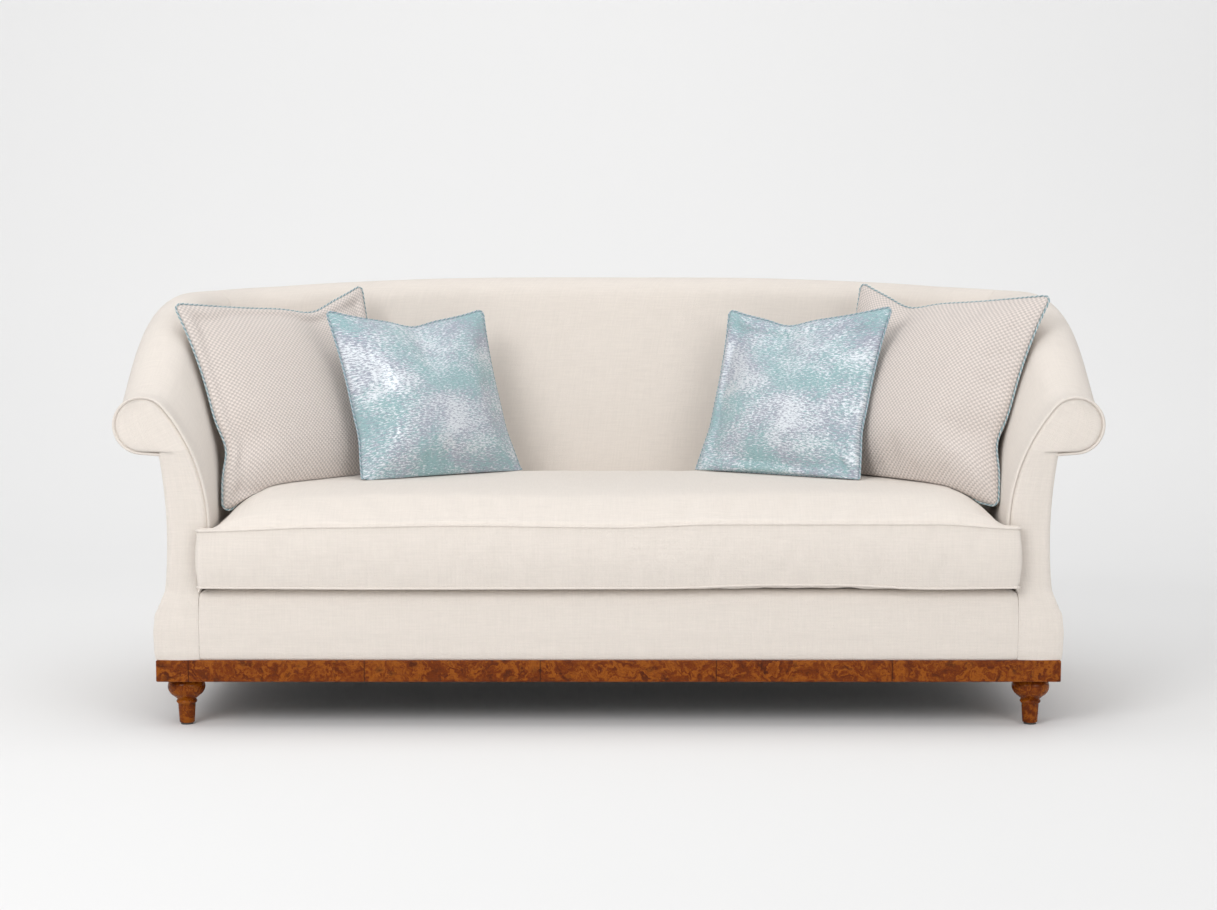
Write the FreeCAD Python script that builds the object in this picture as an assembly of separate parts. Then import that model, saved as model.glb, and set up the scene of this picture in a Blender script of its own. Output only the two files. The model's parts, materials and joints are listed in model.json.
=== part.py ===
import FreeCAD, Part
import math
import os
from collections import namedtuple

V = FreeCAD.Vector

# A three-seat sofa on a veneered plinth: scrolled arms that sweep up into a scrolled back,
# one loose seat cushion and four loose scatter cushions.
# Millimetres. +X is the right as seen from the front, the front looks along -Y, Z = 0 is the floor.

# Overall sizes
WIDTH = 2200.0            # over the arm scrolls
DEPTH = 950.0             # front of the seat cushion to the back scroll
BACK_TOP = 989.0          # top of the back at its middle
BACK_DROP = 31.0          # how much lower the scroll is at the back corners
ARM_TOP = 746.0           # top of the scroll at the arm fronts

# Feet, plinth and seat frame
GLIDE_H = 4.0
GLIDE_R = 14.0
FOOT_RING_AT = 0.47       # levels of the foot's turnings, as shares of its height
FOOT_NECK_AT = 0.52
FOOT_BULB_AT = 0.79
FOOT_H = 102.0
FOOT_BULB_R = 42.0
FOOT_TOP_R = 34.5
FOOT_NECK_R = 22.0
FOOT_TOE_R = 17.0
FOOT_INSET = 57.0         # plinth face to foot centre
BOLT_R = 5.0
BOLT_IN_FOOT = 40.0
BOLT_IN_BLOCK = 36.0
BOLT_CLEARANCE = 0.2
PLINTH_H = 49.0
PLINTH_T = 45.0
PLINTH_EASE = 2.0         # eased lower and upper edges of the plinth face
BLOCK_SIDE = 95.0
RAIL_H = 143.0
RAIL_T = 45.0
STRETCHER_X = 330.0
STRAP_T = 3.0
STRAP_W = 70.0
STRAP_PITCH = 168.0
STRAP_COUNT = 11
DECK_T = 15.0
DUST_COVER_T = 1.2
DUST_COVER_RISE = 3.0

# Borders round the base
BORDER_T = 23.0           # border pad outside the rails
BORDER_LIP = 4.0          # border overhang past the plinth
BORDER_BEND = 30.0        # below the rail top, where a border turns in to the rail
BORDER_SWELL = 11.0       # forward swell of the front border
BORDER_NOTCH = 14.0       # room for the arm pad at the ends of the border's top
ARM_OVERHANG = 87.0       # border face to scroll edge at the arms
BACK_OVERHANG = 89.0      # border face to scroll edge at the back

# Arm and back section
ARM_SCROLL_R = 66.0
BACK_SCROLL_R = 65.0
ARM_T = 102.0             # thickness of the arm at its foot
BACK_T = 250.0            # back scroll edge to the inside of the back at the deck
ARM_CORNER_R = 71.0       # inside corner, arm end
BACK_CORNER_R = 45.0      # inside corner, back end
ARM_ROLL_ANGLE = 140.0    # where the bowed inside face runs into the scroll
BACK_ROLL_ANGLE = 166.0
LIP_IN = 36.0             # scroll centre to the corner under the scroll, arms
BACK_LIP_IN = 26.0
LIP_DROP = 3.0
ARM_WAIST = 18.0          # hollow of the outside arm
PANEL_T = 10.0
ARM_SLOT = 29.0           # pad thickness at the foot of the arm
BACK_SLOT = 85.0
BACK_SLOT_TOP = 120.0
ARM_SLOT_TOP = 34.0
CLEAR = 0.3

# Arm front
FACE_SETBACK = 37.0       # arm front behind the front of the seat cushion
FACING_T = 14.0
BOARD_T = 25.0
BOARD_INSET = 10.0
WELT_R = 3.0
WELT_GAP = 0.3
CORD_SIDES = 6

# Frame timbers in the arms and back
ARM_RAIL_T = 22.0
ARM_RAIL_H = 50.0
ARM_RAIL_SETBACK = 14.0   # clear of the hollow outside panel
PANEL_GAP = 1.5
RAIL_GAP = 5.0
POST_X = 28.0
POST_Y = 42.0
BACK_RAIL_T = 16.0
BACK_RAIL_H = 70.0
UPRIGHT_W = 60.0
BACK_STRAP_W = 60.0
BACK_STRAP_COUNT = 4

# Seat cushion
SEAT_EAR = 39.0           # reach of the front corners past the seat's sides, out to the arm foot
SEAT_EAR_GAP = 7.0
SEAT_REAR_GAP = 12.0
SEAT_BOX_H = 142.0
SEAT_CROWN = 52.0
SEAT_REAR_R = 45.0
SEAT_EAR_R = 10.0
CROWN_RUN = 210.0         # how far in from the welt the crown keeps rising
CROWN_REAR = 0.35         # the crown rises faster at the back edge
CROWN_LEVELS = (0.0, 0.3, 0.55, 0.76, 0.91, 1.0)
CORE_INSET = 45.0
CORE_H = 110.0
CORE_RISE = 25.0

# Scatter cushions: half side, half thickness, then where each one lies
LARGE_HALF = 257.0
LARGE_THICK = 82.0
SMALL_HALF = 222.0
SMALL_THICK = 66.0
PILLOW_LEVELS = (0.0, 0.2, 0.38, 0.55, 0.7, 0.84, 0.94, 0.99)
PILLOW_DRAW = 0.935       # middle of the side against its corners
PILLOW_BOW = 0.14         # hollow of the drawn-in side
PILLOW_CORNER = 0.06
PILLOW_FULL = 2.6         # fullness of the crown
INSERT_THICK = 0.55       # stuffed inner pad against the whole cushion
INSERT_FACE = 0.64
INSERT_SEAM = 0.82
PIPING_R = 2.6
REST_GAP = 0.4
# Place of each scatter cushion's centre: in from the arm foot, behind the corner axis (minus is ahead),
# over the top of the seat crown, then its turn to the room, lean and roll in degrees
Pose = namedtuple("Pose", "side in_from_arm behind over_seat turn lean roll")
LEFT_LARGE = Pose(-1, 170.2, -184.4, 239.6, 48.0, 24.0, 0.0)
RIGHT_LARGE = Pose(1, 167.4, -187.8, 239.6, -49.0, 24.0, 0.0)
LEFT_SMALL = Pose(-1, 461.4, -140.6, 218.5, 32.0, 21.0, 2.0)
RIGHT_SMALL = Pose(1, 459.4, -140.7, 218.5, -32.0, 21.0, -2.0)

# Sweep of the scroll: level at the arm front, a quick climb, then easing into the back
SWEEP_START = 0.07        # share of the arm's length that stays level
SWEEP_RATE = 3.9
SWEEP_POWER = 1.45
SWEEP_SHARES = (0.0, 0.06, 0.12, 0.19, 0.27, 0.36, 0.46, 0.58, 0.74, 0.87, 1.0)
CORNER_ANGLES = (15.0, 30.0, 45.0)
BACK_SHARES = (1.0, 0.85, 0.65, 0.4, 0.0)
BACK_DROP_POWER = 2.8

# Levels and planes that follow from the sizes
PLINTH_Z = GLIDE_H + FOOT_H
RAIL_Z = PLINTH_Z + PLINTH_H
RAIL_TOP = RAIL_Z + RAIL_H
PAD_Z = RAIL_TOP + STRAP_T
DECK_TOP = PAD_Z + DECK_T
SEAT_TOP = DECK_TOP + REST_GAP + SEAT_BOX_H + SEAT_CROWN
HALF = WIDTH / 2
FRONT = -DEPTH / 2
BACK = DEPTH / 2
FACE_Y = FRONT + FACE_SETBACK
BOARD_Y = FACE_Y + FACING_T
BOARD_BACK_Y = BOARD_Y + BOARD_T
BORDER_X = HALF - ARM_OVERHANG
RAIL_OUT_X = BORDER_X - BORDER_T
RAIL_IN_X = RAIL_OUT_X - RAIL_T
PLINTH_X = BORDER_X - BORDER_LIP
ARM_IN_X = BORDER_X - ARM_T
SEAT_HALF = ARM_IN_X - SEAT_EAR
PANEL_X = RAIL_OUT_X + 1.0
SCROLL_X = HALF - ARM_SCROLL_R
BORDER_BACK_Y = BACK - BACK_OVERHANG
RAIL_BACK_Y = BORDER_BACK_Y - BORDER_T
RAIL_BACK_IN_Y = RAIL_BACK_Y - RAIL_T
PLINTH_FRONT_Y = FACE_Y - BORDER_SWELL + 1.0
PLINTH_BACK_Y = BORDER_BACK_Y - BORDER_LIP
CORNER_X = ARM_IN_X - ARM_CORNER_R
CORNER_Y = BACK - BACK_T - BACK_CORNER_R
ARM_LENGTH = CORNER_Y - BOARD_Y
ARM_END_SHARE = (RAIL_BACK_Y - CLEAR - BOARD_Y) / ARM_LENGTH
ARM_SCROLL_Z = ARM_TOP - ARM_SCROLL_R
BACK_SCROLL_Z = BACK_TOP - BACK_SCROLL_R
MITRE_Z = BACK_SCROLL_Z - BACK_DROP

nodes = {}


def mix(a, b, t):
    return a + (b - a) * t


def box(x0, x1, y0, y1, z0, z1):
    return Part.makeBox(x1 - x0, y1 - y0, z1 - z0, V(x0, y0, z0))


def line(a, b):
    return Part.LineSegment(a, b).toShape()


def arc(a, m, b):
    return Part.Arc(a, m, b).toShape()


def mirrored(shape):
    return shape.mirror(V(0, 0, 0), V(1, 0, 0))


def extrude(edges, vector):
    return Part.Face(Part.Wire(edges)).extrude(vector)


def polygon(points):
    return [line(a, b) for a, b in zip(points, points[1:] + points[:1])]


def loft(wires):
    return Part.makeLoft(wires, True, True)


def cord(path, radius):
    """Sewn cord of a plain many-sided section along a path."""
    edge = path.Edges[0]
    start = edge.valueAt(edge.FirstParameter)
    ahead = edge.tangentAt(edge.FirstParameter)
    frame = FreeCAD.Rotation(V(0, 0, 1), ahead)
    corners = []
    for i in range(CORD_SIDES):
        angle = 2 * math.pi * (i + 0.5) / CORD_SIDES
        corners.append(start + frame.multVec(V(radius * math.cos(angle), radius * math.sin(angle), 0)))
    return path.makePipeShell([Part.Wire(polygon(corners))], True, False)


def both_sides(name, right):
    nodes["right_" + name] = right
    nodes["left_" + name] = mirrored(right)


# The padded section: an inside face that bows towards the seat and runs tangentially into a round scroll.
# It is drawn across the path (u outward, z up) and blends from the arm to the back.
Section = namedtuple("Section", "foot big big_r roll scroll r lip slot_top slot")


def section(blend, roll, scroll_z, inset=0.0):
    r = mix(ARM_SCROLL_R, BACK_SCROLL_R, blend)
    scroll_u = mix(SCROLL_X - CORNER_X, BACK - BACK_SCROLL_R - CORNER_Y, blend)
    foot_u = mix(ARM_CORNER_R, BACK_CORNER_R, blend)
    angle = math.radians(mix(ARM_ROLL_ANGLE, BACK_ROLL_ANGLE, roll))
    normal = V(math.cos(angle), math.sin(angle), 0)
    scroll = V(scroll_u, scroll_z, 0)
    foot = V(foot_u, PAD_Z, 0)
    chord = foot - (scroll + normal * r)
    big_r = -chord.dot(chord) / (2 * normal.dot(chord))
    big = scroll + normal * (r - big_r)
    out = (foot - big).normalize()
    lip_u = scroll_u - mix(LIP_IN, BACK_LIP_IN, blend)
    lip = V(lip_u - inset, scroll_z - r - LIP_DROP + inset, 0)
    slot_top = V(foot_u + mix(ARM_SLOT_TOP, BACK_SLOT_TOP, blend), lip.y, 0)
    slot = V(foot_u + mix(ARM_SLOT, BACK_SLOT, blend), PAD_Z, 0)
    return Section(big + out * (big_r - inset), big, big_r - inset, normal, scroll, r - inset,
                   lip, slot_top, slot)


Station = namedtuple("Station", "x y angle blend roll z")


def placed(station, p):
    a = math.radians(station.angle)
    return V(station.x + p.x * math.cos(a), station.y + p.x * math.sin(a), p.y)


def inside_edges(s, put):
    """Inside face and scroll, from the foot round to the bottom of the scroll."""
    roll = s.scroll + s.roll * s.r
    middle = s.big + ((s.foot - s.big).normalize() + s.roll).normalize() * s.big_r
    edge = s.scroll + V(s.r, 0, 0)
    crest = s.scroll + (s.roll + V(1, 0, 0)).normalize() * s.r
    under = s.scroll + V(1, -1, 0).normalize() * s.r
    bottom = s.scroll - V(0, s.r, 0)
    return [arc(put(s.foot), put(middle), put(roll)),
            arc(put(roll), put(crest), put(edge)),
            arc(put(edge), put(under), put(bottom))], bottom


def pad_wire(station):
    s = section(station.blend, station.roll, station.z)
    edges, bottom = inside_edges(s, lambda p: placed(station, p))
    rest = [bottom, s.lip, s.slot_top, s.slot, s.foot]
    edges += [line(placed(station, a), placed(station, b)) for a, b in zip(rest, rest[1:])]
    return Part.Wire(edges)


def smooth(t):
    return t * t * (3 - 2 * t)


CORNER_LENGTH = math.pi / 2 * (ARM_CORNER_R + BACK_CORNER_R)
BACK_PATH = CORNER_X + CORNER_LENGTH / 2


def climb(along):
    """Share of the sweep's rise at a length along the arm."""
    def rise(length):
        share = max(0.0, length / ARM_LENGTH - SWEEP_START)
        return 1 - math.exp(-SWEEP_RATE * share ** SWEEP_POWER)
    return min(1.0, rise(along) / rise(ARM_LENGTH + CORNER_LENGTH / 2))


def arm_scroll_z(along):
    return mix(ARM_SCROLL_Z, MITRE_Z, climb(along))


def back_scroll_z(x):
    """Height of the scroll centre at a length along the back from its middle."""
    return BACK_SCROLL_Z - BACK_DROP * min(1.0, x / BACK_PATH) ** BACK_DROP_POWER


def arm_station(share):
    along = share * ARM_LENGTH
    return Station(CORNER_X, BOARD_Y + along, 0.0, 0.0, climb(along), arm_scroll_z(along))


def corner_station(angle):
    along = ARM_LENGTH + angle / 90 * CORNER_LENGTH
    z = arm_scroll_z(along)
    if angle > 45:
        z = back_scroll_z(CORNER_X + (90 - angle) / 90 * CORNER_LENGTH)
    return Station(CORNER_X, CORNER_Y, angle, smooth(angle / 90), climb(along), z)


def back_station(share):
    x = share * CORNER_X
    return Station(x, CORNER_Y, 90.0, 1.0, 1.0, back_scroll_z(abs(x)))


def arm_pad():
    """Right arm, from its front to the mitre in the back corner."""
    stations = [arm_station(share) for share in SWEEP_SHARES]
    stations += [corner_station(angle) for angle in CORNER_ANGLES]
    return loft([pad_wire(s) for s in stations])


def back_pad():
    """Back between the two mitres."""
    right = [corner_station(90 - angle) for angle in reversed(CORNER_ANGLES)]
    right += [back_station(share) for share in BACK_SHARES]
    left = [s._replace(x=-s.x, angle=180 - s.angle) for s in reversed(right[:-1])]
    return loft([pad_wire(s) for s in right + left])


# Arm front: outline of the board and of the padded facing, for the right arm
def arm_front_edges(inset, outer_inset, y):
    s = section(0.0, 0.0, ARM_SCROLL_Z, inset)

    def put(p):
        return V(CORNER_X + p.x, y, p.y)
    edges, bottom = inside_edges(s, put)
    lip = V(CORNER_X + s.lip.x + inset - outer_inset, y, s.lip.y)
    foot = put(s.foot)
    base_in = V(ARM_IN_X + inset, y, RAIL_Z)
    shoulder = V(ARM_IN_X + inset, y, foot.z - 2 * inset - 1.0)
    waist = V(PANEL_X - outer_inset - ARM_WAIST + 7.0, y, mix(PAD_Z, lip.z, 0.5))
    hip = V(PANEL_X - outer_inset, y, RAIL_TOP)
    edges += [line(put(bottom), lip), arc(lip, waist, hip)]
    return edges, base_in, shoulder, foot, hip


def arm_board(inset):
    edges, base_in, shoulder, foot, hip = arm_front_edges(inset, inset, BOARD_Y)
    base_out = V(hip.x, BOARD_Y, RAIL_Z)
    edges += [line(hip, base_out), line(base_out, base_in), line(base_in, shoulder), line(shoulder, foot)]
    return extrude(edges, V(0, BOARD_T, 0))


def swell_edges(x):
    """Forward swell of the base band, seen from the side."""
    low = V(x, FACE_Y - BORDER_SWELL + 5.0, RAIL_Z)
    belly = V(x, FACE_Y - BORDER_SWELL - 2.0, mix(RAIL_Z, RAIL_TOP, 0.5))
    brow = V(x, FACE_Y - BORDER_SWELL + 3.0, RAIL_TOP - 10.0)
    return low, belly, brow


def arm_facing():
    inset = 2 * WELT_R + 2 * WELT_GAP + 0.4
    edges, base_in, shoulder, foot, hip = arm_front_edges(inset, 0.0, FACE_Y)
    base_in = V(ARM_IN_X + CLEAR, FACE_Y, RAIL_Z)
    shoulder = V(ARM_IN_X + CLEAR, FACE_Y, shoulder.z)
    swell = V(BORDER_X, FACE_Y, mix(RAIL_Z, RAIL_TOP, 0.4))
    round_in = V(BORDER_X - 8.0, FACE_Y, RAIL_TOP - BORDER_BEND)
    base_out = V(BORDER_X - 3.0, FACE_Y, RAIL_Z)
    edges += [arc(hip, round_in, swell), line(swell, base_out), line(base_out, base_in),
              line(base_in, shoulder), line(shoulder, foot)]
    panel = extrude(edges, V(0, FACING_T, 0))
    low, belly, brow = swell_edges(base_in.x)
    top = V(base_in.x, FACE_Y, RAIL_TOP + 12.0)
    heel = V(base_in.x, FACE_Y, RAIL_Z)
    fade = V(base_in.x, FACE_Y - BORDER_SWELL / 3, RAIL_TOP + 3.0)
    band = extrude([arc(low, belly, brow), arc(brow, fade, top), line(top, heel), line(heel, low)],
                   V(base_out.x - 12.0 - base_in.x, 0, 0))
    return panel.fuse(band).removeSplitter()


def facing_welt():
    inset = WELT_R + WELT_GAP
    s = section(0.0, 0.0, ARM_SCROLL_Z, inset)
    y = FACE_Y + WELT_R + 1.0
    edges, bottom = inside_edges(s, lambda p: V(CORNER_X + p.x, y, p.y))
    return cord(Part.Wire(edges), WELT_R)


def outside_arm_panel():
    wires = []
    for share in SWEEP_SHARES + (ARM_END_SHARE,):
        y = BOARD_Y + share * ARM_LENGTH
        lip_z = arm_scroll_z(share * ARM_LENGTH) - ARM_SCROLL_R - LIP_DROP - PANEL_GAP
        lip_x = SCROLL_X - LIP_IN
        waist_x = PANEL_X - ARM_WAIST + 7.0
        middle = mix(PAD_Z, lip_z, 0.5)
        out = [V(lip_x, y, lip_z), V(waist_x, y, middle), V(PANEL_X, y, RAIL_TOP)]
        back = [p - V(PANEL_T - CLEAR, 0, 0) for p in reversed(out)]
        wires.append(Part.Wire([arc(*out), line(out[2], back[0]), arc(*back), line(back[2], out[0])]))
    return loft(wires)


def arm_top_rail():
    wires = []
    inside = SCROLL_X - LIP_IN - PANEL_T - ARM_RAIL_SETBACK - ARM_RAIL_T
    front_share = BOARD_T / ARM_LENGTH
    post_share = ARM_END_SHARE - (POST_Y - CLEAR) / ARM_LENGTH
    for share in (front_share,) + SWEEP_SHARES[1:] + (post_share,):
        y = BOARD_Y + share * ARM_LENGTH
        top = arm_scroll_z(share * ARM_LENGTH) - ARM_SCROLL_R - LIP_DROP - RAIL_GAP
        corners = [V(inside, y, top - ARM_RAIL_H), V(inside + ARM_RAIL_T, y, top - ARM_RAIL_H),
                   V(inside + ARM_RAIL_T, y, top), V(inside, y, top)]
        wires.append(Part.Wire(polygon(corners)))
    return loft(wires)


def upholstery():
    board = arm_board(BOARD_INSET)
    both_sides("arm_pad", arm_pad().cut(arm_board(BOARD_INSET - CLEAR)))
    nodes["back_pad"] = back_pad()
    both_sides("arm_front_board", board)
    both_sides("arm_facing", arm_facing())
    both_sides("arm_facing_welt", facing_welt())
    both_sides("outside_arm_panel", outside_arm_panel())
    both_sides("arm_top_rail", arm_top_rail())


def back_line(below, x_end):
    """Ends and middle of a line under the back scroll, at a drop below its lip."""
    drop = BACK_SCROLL_R + LIP_DROP + below
    return back_scroll_z(x_end) - drop, BACK_SCROLL_Z - drop


def bowed_board(x_end, y, thickness, low, high, high_middle):
    """Upright board with a level foot and a bowed top."""
    corners = [V(-x_end, y, low), V(x_end, y, low), V(x_end, y, high), V(-x_end, y, high)]
    edges = [line(corners[0], corners[1]), line(corners[1], corners[2]),
             arc(corners[2], V(0, y, high_middle), corners[3]), line(corners[3], corners[0])]
    return extrude(edges, V(0, thickness, 0))


def slot_y(z):
    """Back face of the back pad at a height, at the middle of the sofa."""
    s = section(1.0, 1.0, back_scroll_z(CORNER_X))
    return CORNER_Y + mix(s.slot.x, s.slot_top.x, (z - s.slot.y) / (s.slot_top.y - s.slot.y))


def back_frame():
    post_in_x = RAIL_OUT_X - PANEL_T - ARM_WAIST - CLEAR - POST_X + 7.0
    post_top = MITRE_Z - BACK_SCROLL_R - LIP_DROP - 2 * RAIL_GAP
    both_sides("back_post", box(post_in_x, post_in_x + POST_X, RAIL_BACK_Y - POST_Y, RAIL_BACK_Y, RAIL_TOP, post_top))
    rail_end = post_in_x
    rail_y = RAIL_BACK_Y - BACK_RAIL_T
    high, high_middle = back_line(RAIL_GAP, rail_end)
    low = high - BACK_RAIL_H
    nodes["back_top_rail"] = bowed_board(rail_end, rail_y, BACK_RAIL_T, low, high, high_middle)
    foot_y = slot_y(RAIL_TOP) + STRAP_T + 2 * CLEAR
    head_y = slot_y(low) + STRAP_T + 2 * CLEAR
    uprights = []
    for x in (-1.5 * STRAP_PITCH, 1.5 * STRAP_PITCH):
        side = [V(x - UPRIGHT_W / 2, foot_y, RAIL_TOP), V(x - UPRIGHT_W / 2, RAIL_BACK_Y, RAIL_TOP),
                V(x - UPRIGHT_W / 2, RAIL_BACK_Y, low), V(x - UPRIGHT_W / 2, head_y, low)]
        uprights.append(extrude(polygon(side), V(UPRIGHT_W, 0, 0)))
    nodes["back_uprights"] = Part.Compound(uprights)
    rise = V(0, head_y - foot_y, low - RAIL_TOP)
    along = V(rise).normalize()
    ahead = V(0, -along.z, along.y)
    straps = []
    for i in range(BACK_STRAP_COUNT):
        start = V(-rail_end, foot_y, RAIL_TOP) + rise * ((i + 0.7) / (BACK_STRAP_COUNT + 0.4))
        corners = [start, start + along * BACK_STRAP_W, start + along * BACK_STRAP_W + ahead * STRAP_T,
                   start + ahead * STRAP_T]
        straps.append(extrude(polygon(corners), V(2 * rail_end, 0, 0)))
    nodes["back_webbing"] = Part.Compound(straps)
    top, top_middle = back_line(PANEL_GAP, PANEL_X)
    nodes["outside_back_panel"] = bowed_board(PANEL_X, RAIL_BACK_Y, PANEL_T, RAIL_TOP, top, top_middle)


def plinth():
    x, t = PLINTH_X, PLINTH_T
    y0, y1 = PLINTH_FRONT_Y, PLINTH_BACK_Y
    outer = [(-x, y0), (x, y0), (x, y1), (-x, y1)]
    inner = [(-x + t, y0 + t), (x - t, y0 + t), (x - t, y1 - t), (-x + t, y1 - t)]
    for i, name in enumerate(("front", "right", "back", "left")):
        j = (i + 1) % 4
        corners = [V(*p, PLINTH_Z) for p in (outer[i], outer[j], inner[j], inner[i])]
        board = extrude(polygon(corners), V(0, 0, PLINTH_H))
        face = (corners[0] + corners[1]) * 0.5
        eased = [e for e in board.Edges if abs((e.CenterOfMass - face).dot(V(1, 1, 0))) < 0.01
                 and abs(e.Length - (corners[1] - corners[0]).Length) < 0.01]
        nodes["plinth_" + name] = board.makeChamfer(PLINTH_EASE, eased)


def foot_places():
    x = PLINTH_X - FOOT_INSET
    front, rear = PLINTH_FRONT_Y + FOOT_INSET, PLINTH_BACK_Y - FOOT_INSET
    return {"front_left_foot": (-x, front), "front_right_foot": (x, front),
            "rear_left_foot": (-x, rear), "rear_right_foot": (x, rear)}


def turned_foot():
    z0, z1 = GLIDE_H, PLINTH_Z
    ring_z = mix(z0, z1, FOOT_RING_AT)
    neck_z = mix(z0, z1, FOOT_NECK_AT)
    bulb_z = mix(z0, z1, FOOT_BULB_AT)
    toe = V(FOOT_TOE_R, 0, z0)
    stem = V(FOOT_NECK_R - 1.5, 0, ring_z - 4.0)
    ring = V(FOOT_NECK_R + 2.0, 0, ring_z)
    neck = V(FOOT_NECK_R, 0, neck_z)
    bulb = V(FOOT_BULB_R, 0, bulb_z)
    top = V(FOOT_TOP_R, 0, z1)
    under = V(mix(FOOT_NECK_R, FOOT_BULB_R, 0.72), 0, mix(neck_z, bulb_z, 0.34))
    over = V(FOOT_BULB_R - 1.8, 0, mix(bulb_z, z1, 0.55))
    edges = [line(V(0, 0, z0), toe), line(toe, stem), arc(stem, ring, neck), arc(neck, under, bulb),
             arc(bulb, over, top), line(top, V(0, 0, z1)), line(V(0, 0, z1), V(0, 0, z0))]
    turned = Part.Face(Part.Wire(edges)).revolve(V(0, 0, 0), V(0, 0, 1), 360)
    bore = Part.makeCylinder(BOLT_R + BOLT_CLEARANCE, BOLT_IN_FOOT, V(0, 0, z1 - BOLT_IN_FOOT))
    return turned.cut(bore)


def base():
    foot = turned_foot()
    bolts, glides, blocks = [], [], []
    for name, (x, y) in foot_places().items():
        nodes[name] = foot.translated(V(x, y, 0))
        bolts.append(Part.makeCylinder(BOLT_R, BOLT_IN_FOOT + BOLT_IN_BLOCK, V(x, y, PLINTH_Z - BOLT_IN_FOOT)))
        glides.append(Part.makeCylinder(GLIDE_R, GLIDE_H, V(x, y, 0)))
        bore = Part.makeCylinder(BOLT_R + BOLT_CLEARANCE, BOLT_IN_BLOCK, V(x, y, PLINTH_Z))
        sx, sy = math.copysign(1, x), math.copysign(1, y)
        x_wall = sx * (PLINTH_X - PLINTH_T)
        y_wall = PLINTH_FRONT_Y + PLINTH_T if sy < 0 else PLINTH_BACK_Y - PLINTH_T
        xs = sorted((x_wall, x_wall - sx * BLOCK_SIDE))
        ys = sorted((y_wall, y_wall - sy * BLOCK_SIDE))
        blocks.append(box(*xs, *ys, PLINTH_Z, RAIL_Z).cut(bore))
    nodes["foot_bolts"] = Part.Compound(bolts)
    nodes["foot_glides"] = Part.Compound(glides)
    nodes["corner_blocks"] = Part.Compound(blocks)
    cover_x = PLINTH_X - PLINTH_T - CLEAR
    cover_z = PLINTH_Z + DUST_COVER_RISE
    cover = box(-cover_x, cover_x, PLINTH_FRONT_Y + PLINTH_T + CLEAR, PLINTH_BACK_Y - PLINTH_T - CLEAR,
                cover_z, cover_z + DUST_COVER_T)
    for block in blocks:
        b = block.BoundBox
        cover = cover.cut(box(b.XMin - CLEAR, b.XMax + CLEAR, b.YMin - CLEAR, b.YMax + CLEAR, b.ZMin, b.ZMax))
    nodes["dust_cover"] = cover


def seat_frame():
    rail_back = BOARD_Y + RAIL_T
    nodes["front_seat_rail"] = box(-ARM_IN_X, ARM_IN_X, BOARD_Y, rail_back, RAIL_Z, RAIL_TOP)
    nodes["back_seat_rail"] = box(-RAIL_IN_X, RAIL_IN_X, RAIL_BACK_IN_Y, RAIL_BACK_Y, RAIL_Z, RAIL_TOP)
    both_sides("seat_rail", box(RAIL_IN_X, RAIL_OUT_X, BOARD_BACK_Y, RAIL_BACK_Y, RAIL_Z, RAIL_TOP))
    both_sides("seat_stretcher", box(STRETCHER_X - RAIL_T / 2, STRETCHER_X + RAIL_T / 2, rail_back, RAIL_BACK_IN_Y,
                                     RAIL_Z, RAIL_TOP - 2 * RAIL_T))
    straps = []
    strap_front = BOARD_BACK_Y
    for i in range(STRAP_COUNT):
        x = (i - (STRAP_COUNT - 1) / 2) * STRAP_PITCH
        straps.append(box(x - STRAP_W / 2, x + STRAP_W / 2, strap_front, RAIL_BACK_IN_Y + RAIL_T / 2, RAIL_TOP, PAD_Z))
    nodes["seat_webbing"] = Part.Compound(straps)
    deck_x = ARM_IN_X - ARM_CORNER_R + BACK_CORNER_R - 5.0
    deck_back = CORNER_Y + BACK_CORNER_R - 5.0
    deck = rounded([(-deck_x, strap_front), (deck_x, strap_front), (deck_x, deck_back), (-deck_x, deck_back)],
                   [0.0, 0.0, BACK_CORNER_R, BACK_CORNER_R], PAD_Z)
    nodes["seat_deck"] = Part.Face(deck).extrude(V(0, 0, DECK_T))


def rounded(points, radii, z):
    """Closed level wire of straight runs joined by tangent arcs."""
    count = len(points)
    edges, last, first = [], None, None
    for i, radius in enumerate(radii):
        corner = V(*points[i], z)
        to_back = (V(*points[i - 1], z) - corner).normalize()
        to_next = (V(*points[(i + 1) % count], z) - corner).normalize()
        half = to_back.getAngle(to_next) / 2
        cut = radius / math.tan(half)
        start, end = corner + to_back * cut, corner + to_next * cut
        if last is not None:
            edges.append(line(last, start))
        if radius > 0:
            inward = (to_back + to_next).normalize()
            middle = corner + inward * (radius / math.sin(half) - radius)
            edges.append(arc(start, middle, end))
        first = start if first is None else first
        last = end
    edges.append(line(last, first))
    return Part.Wire(edges)


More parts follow.
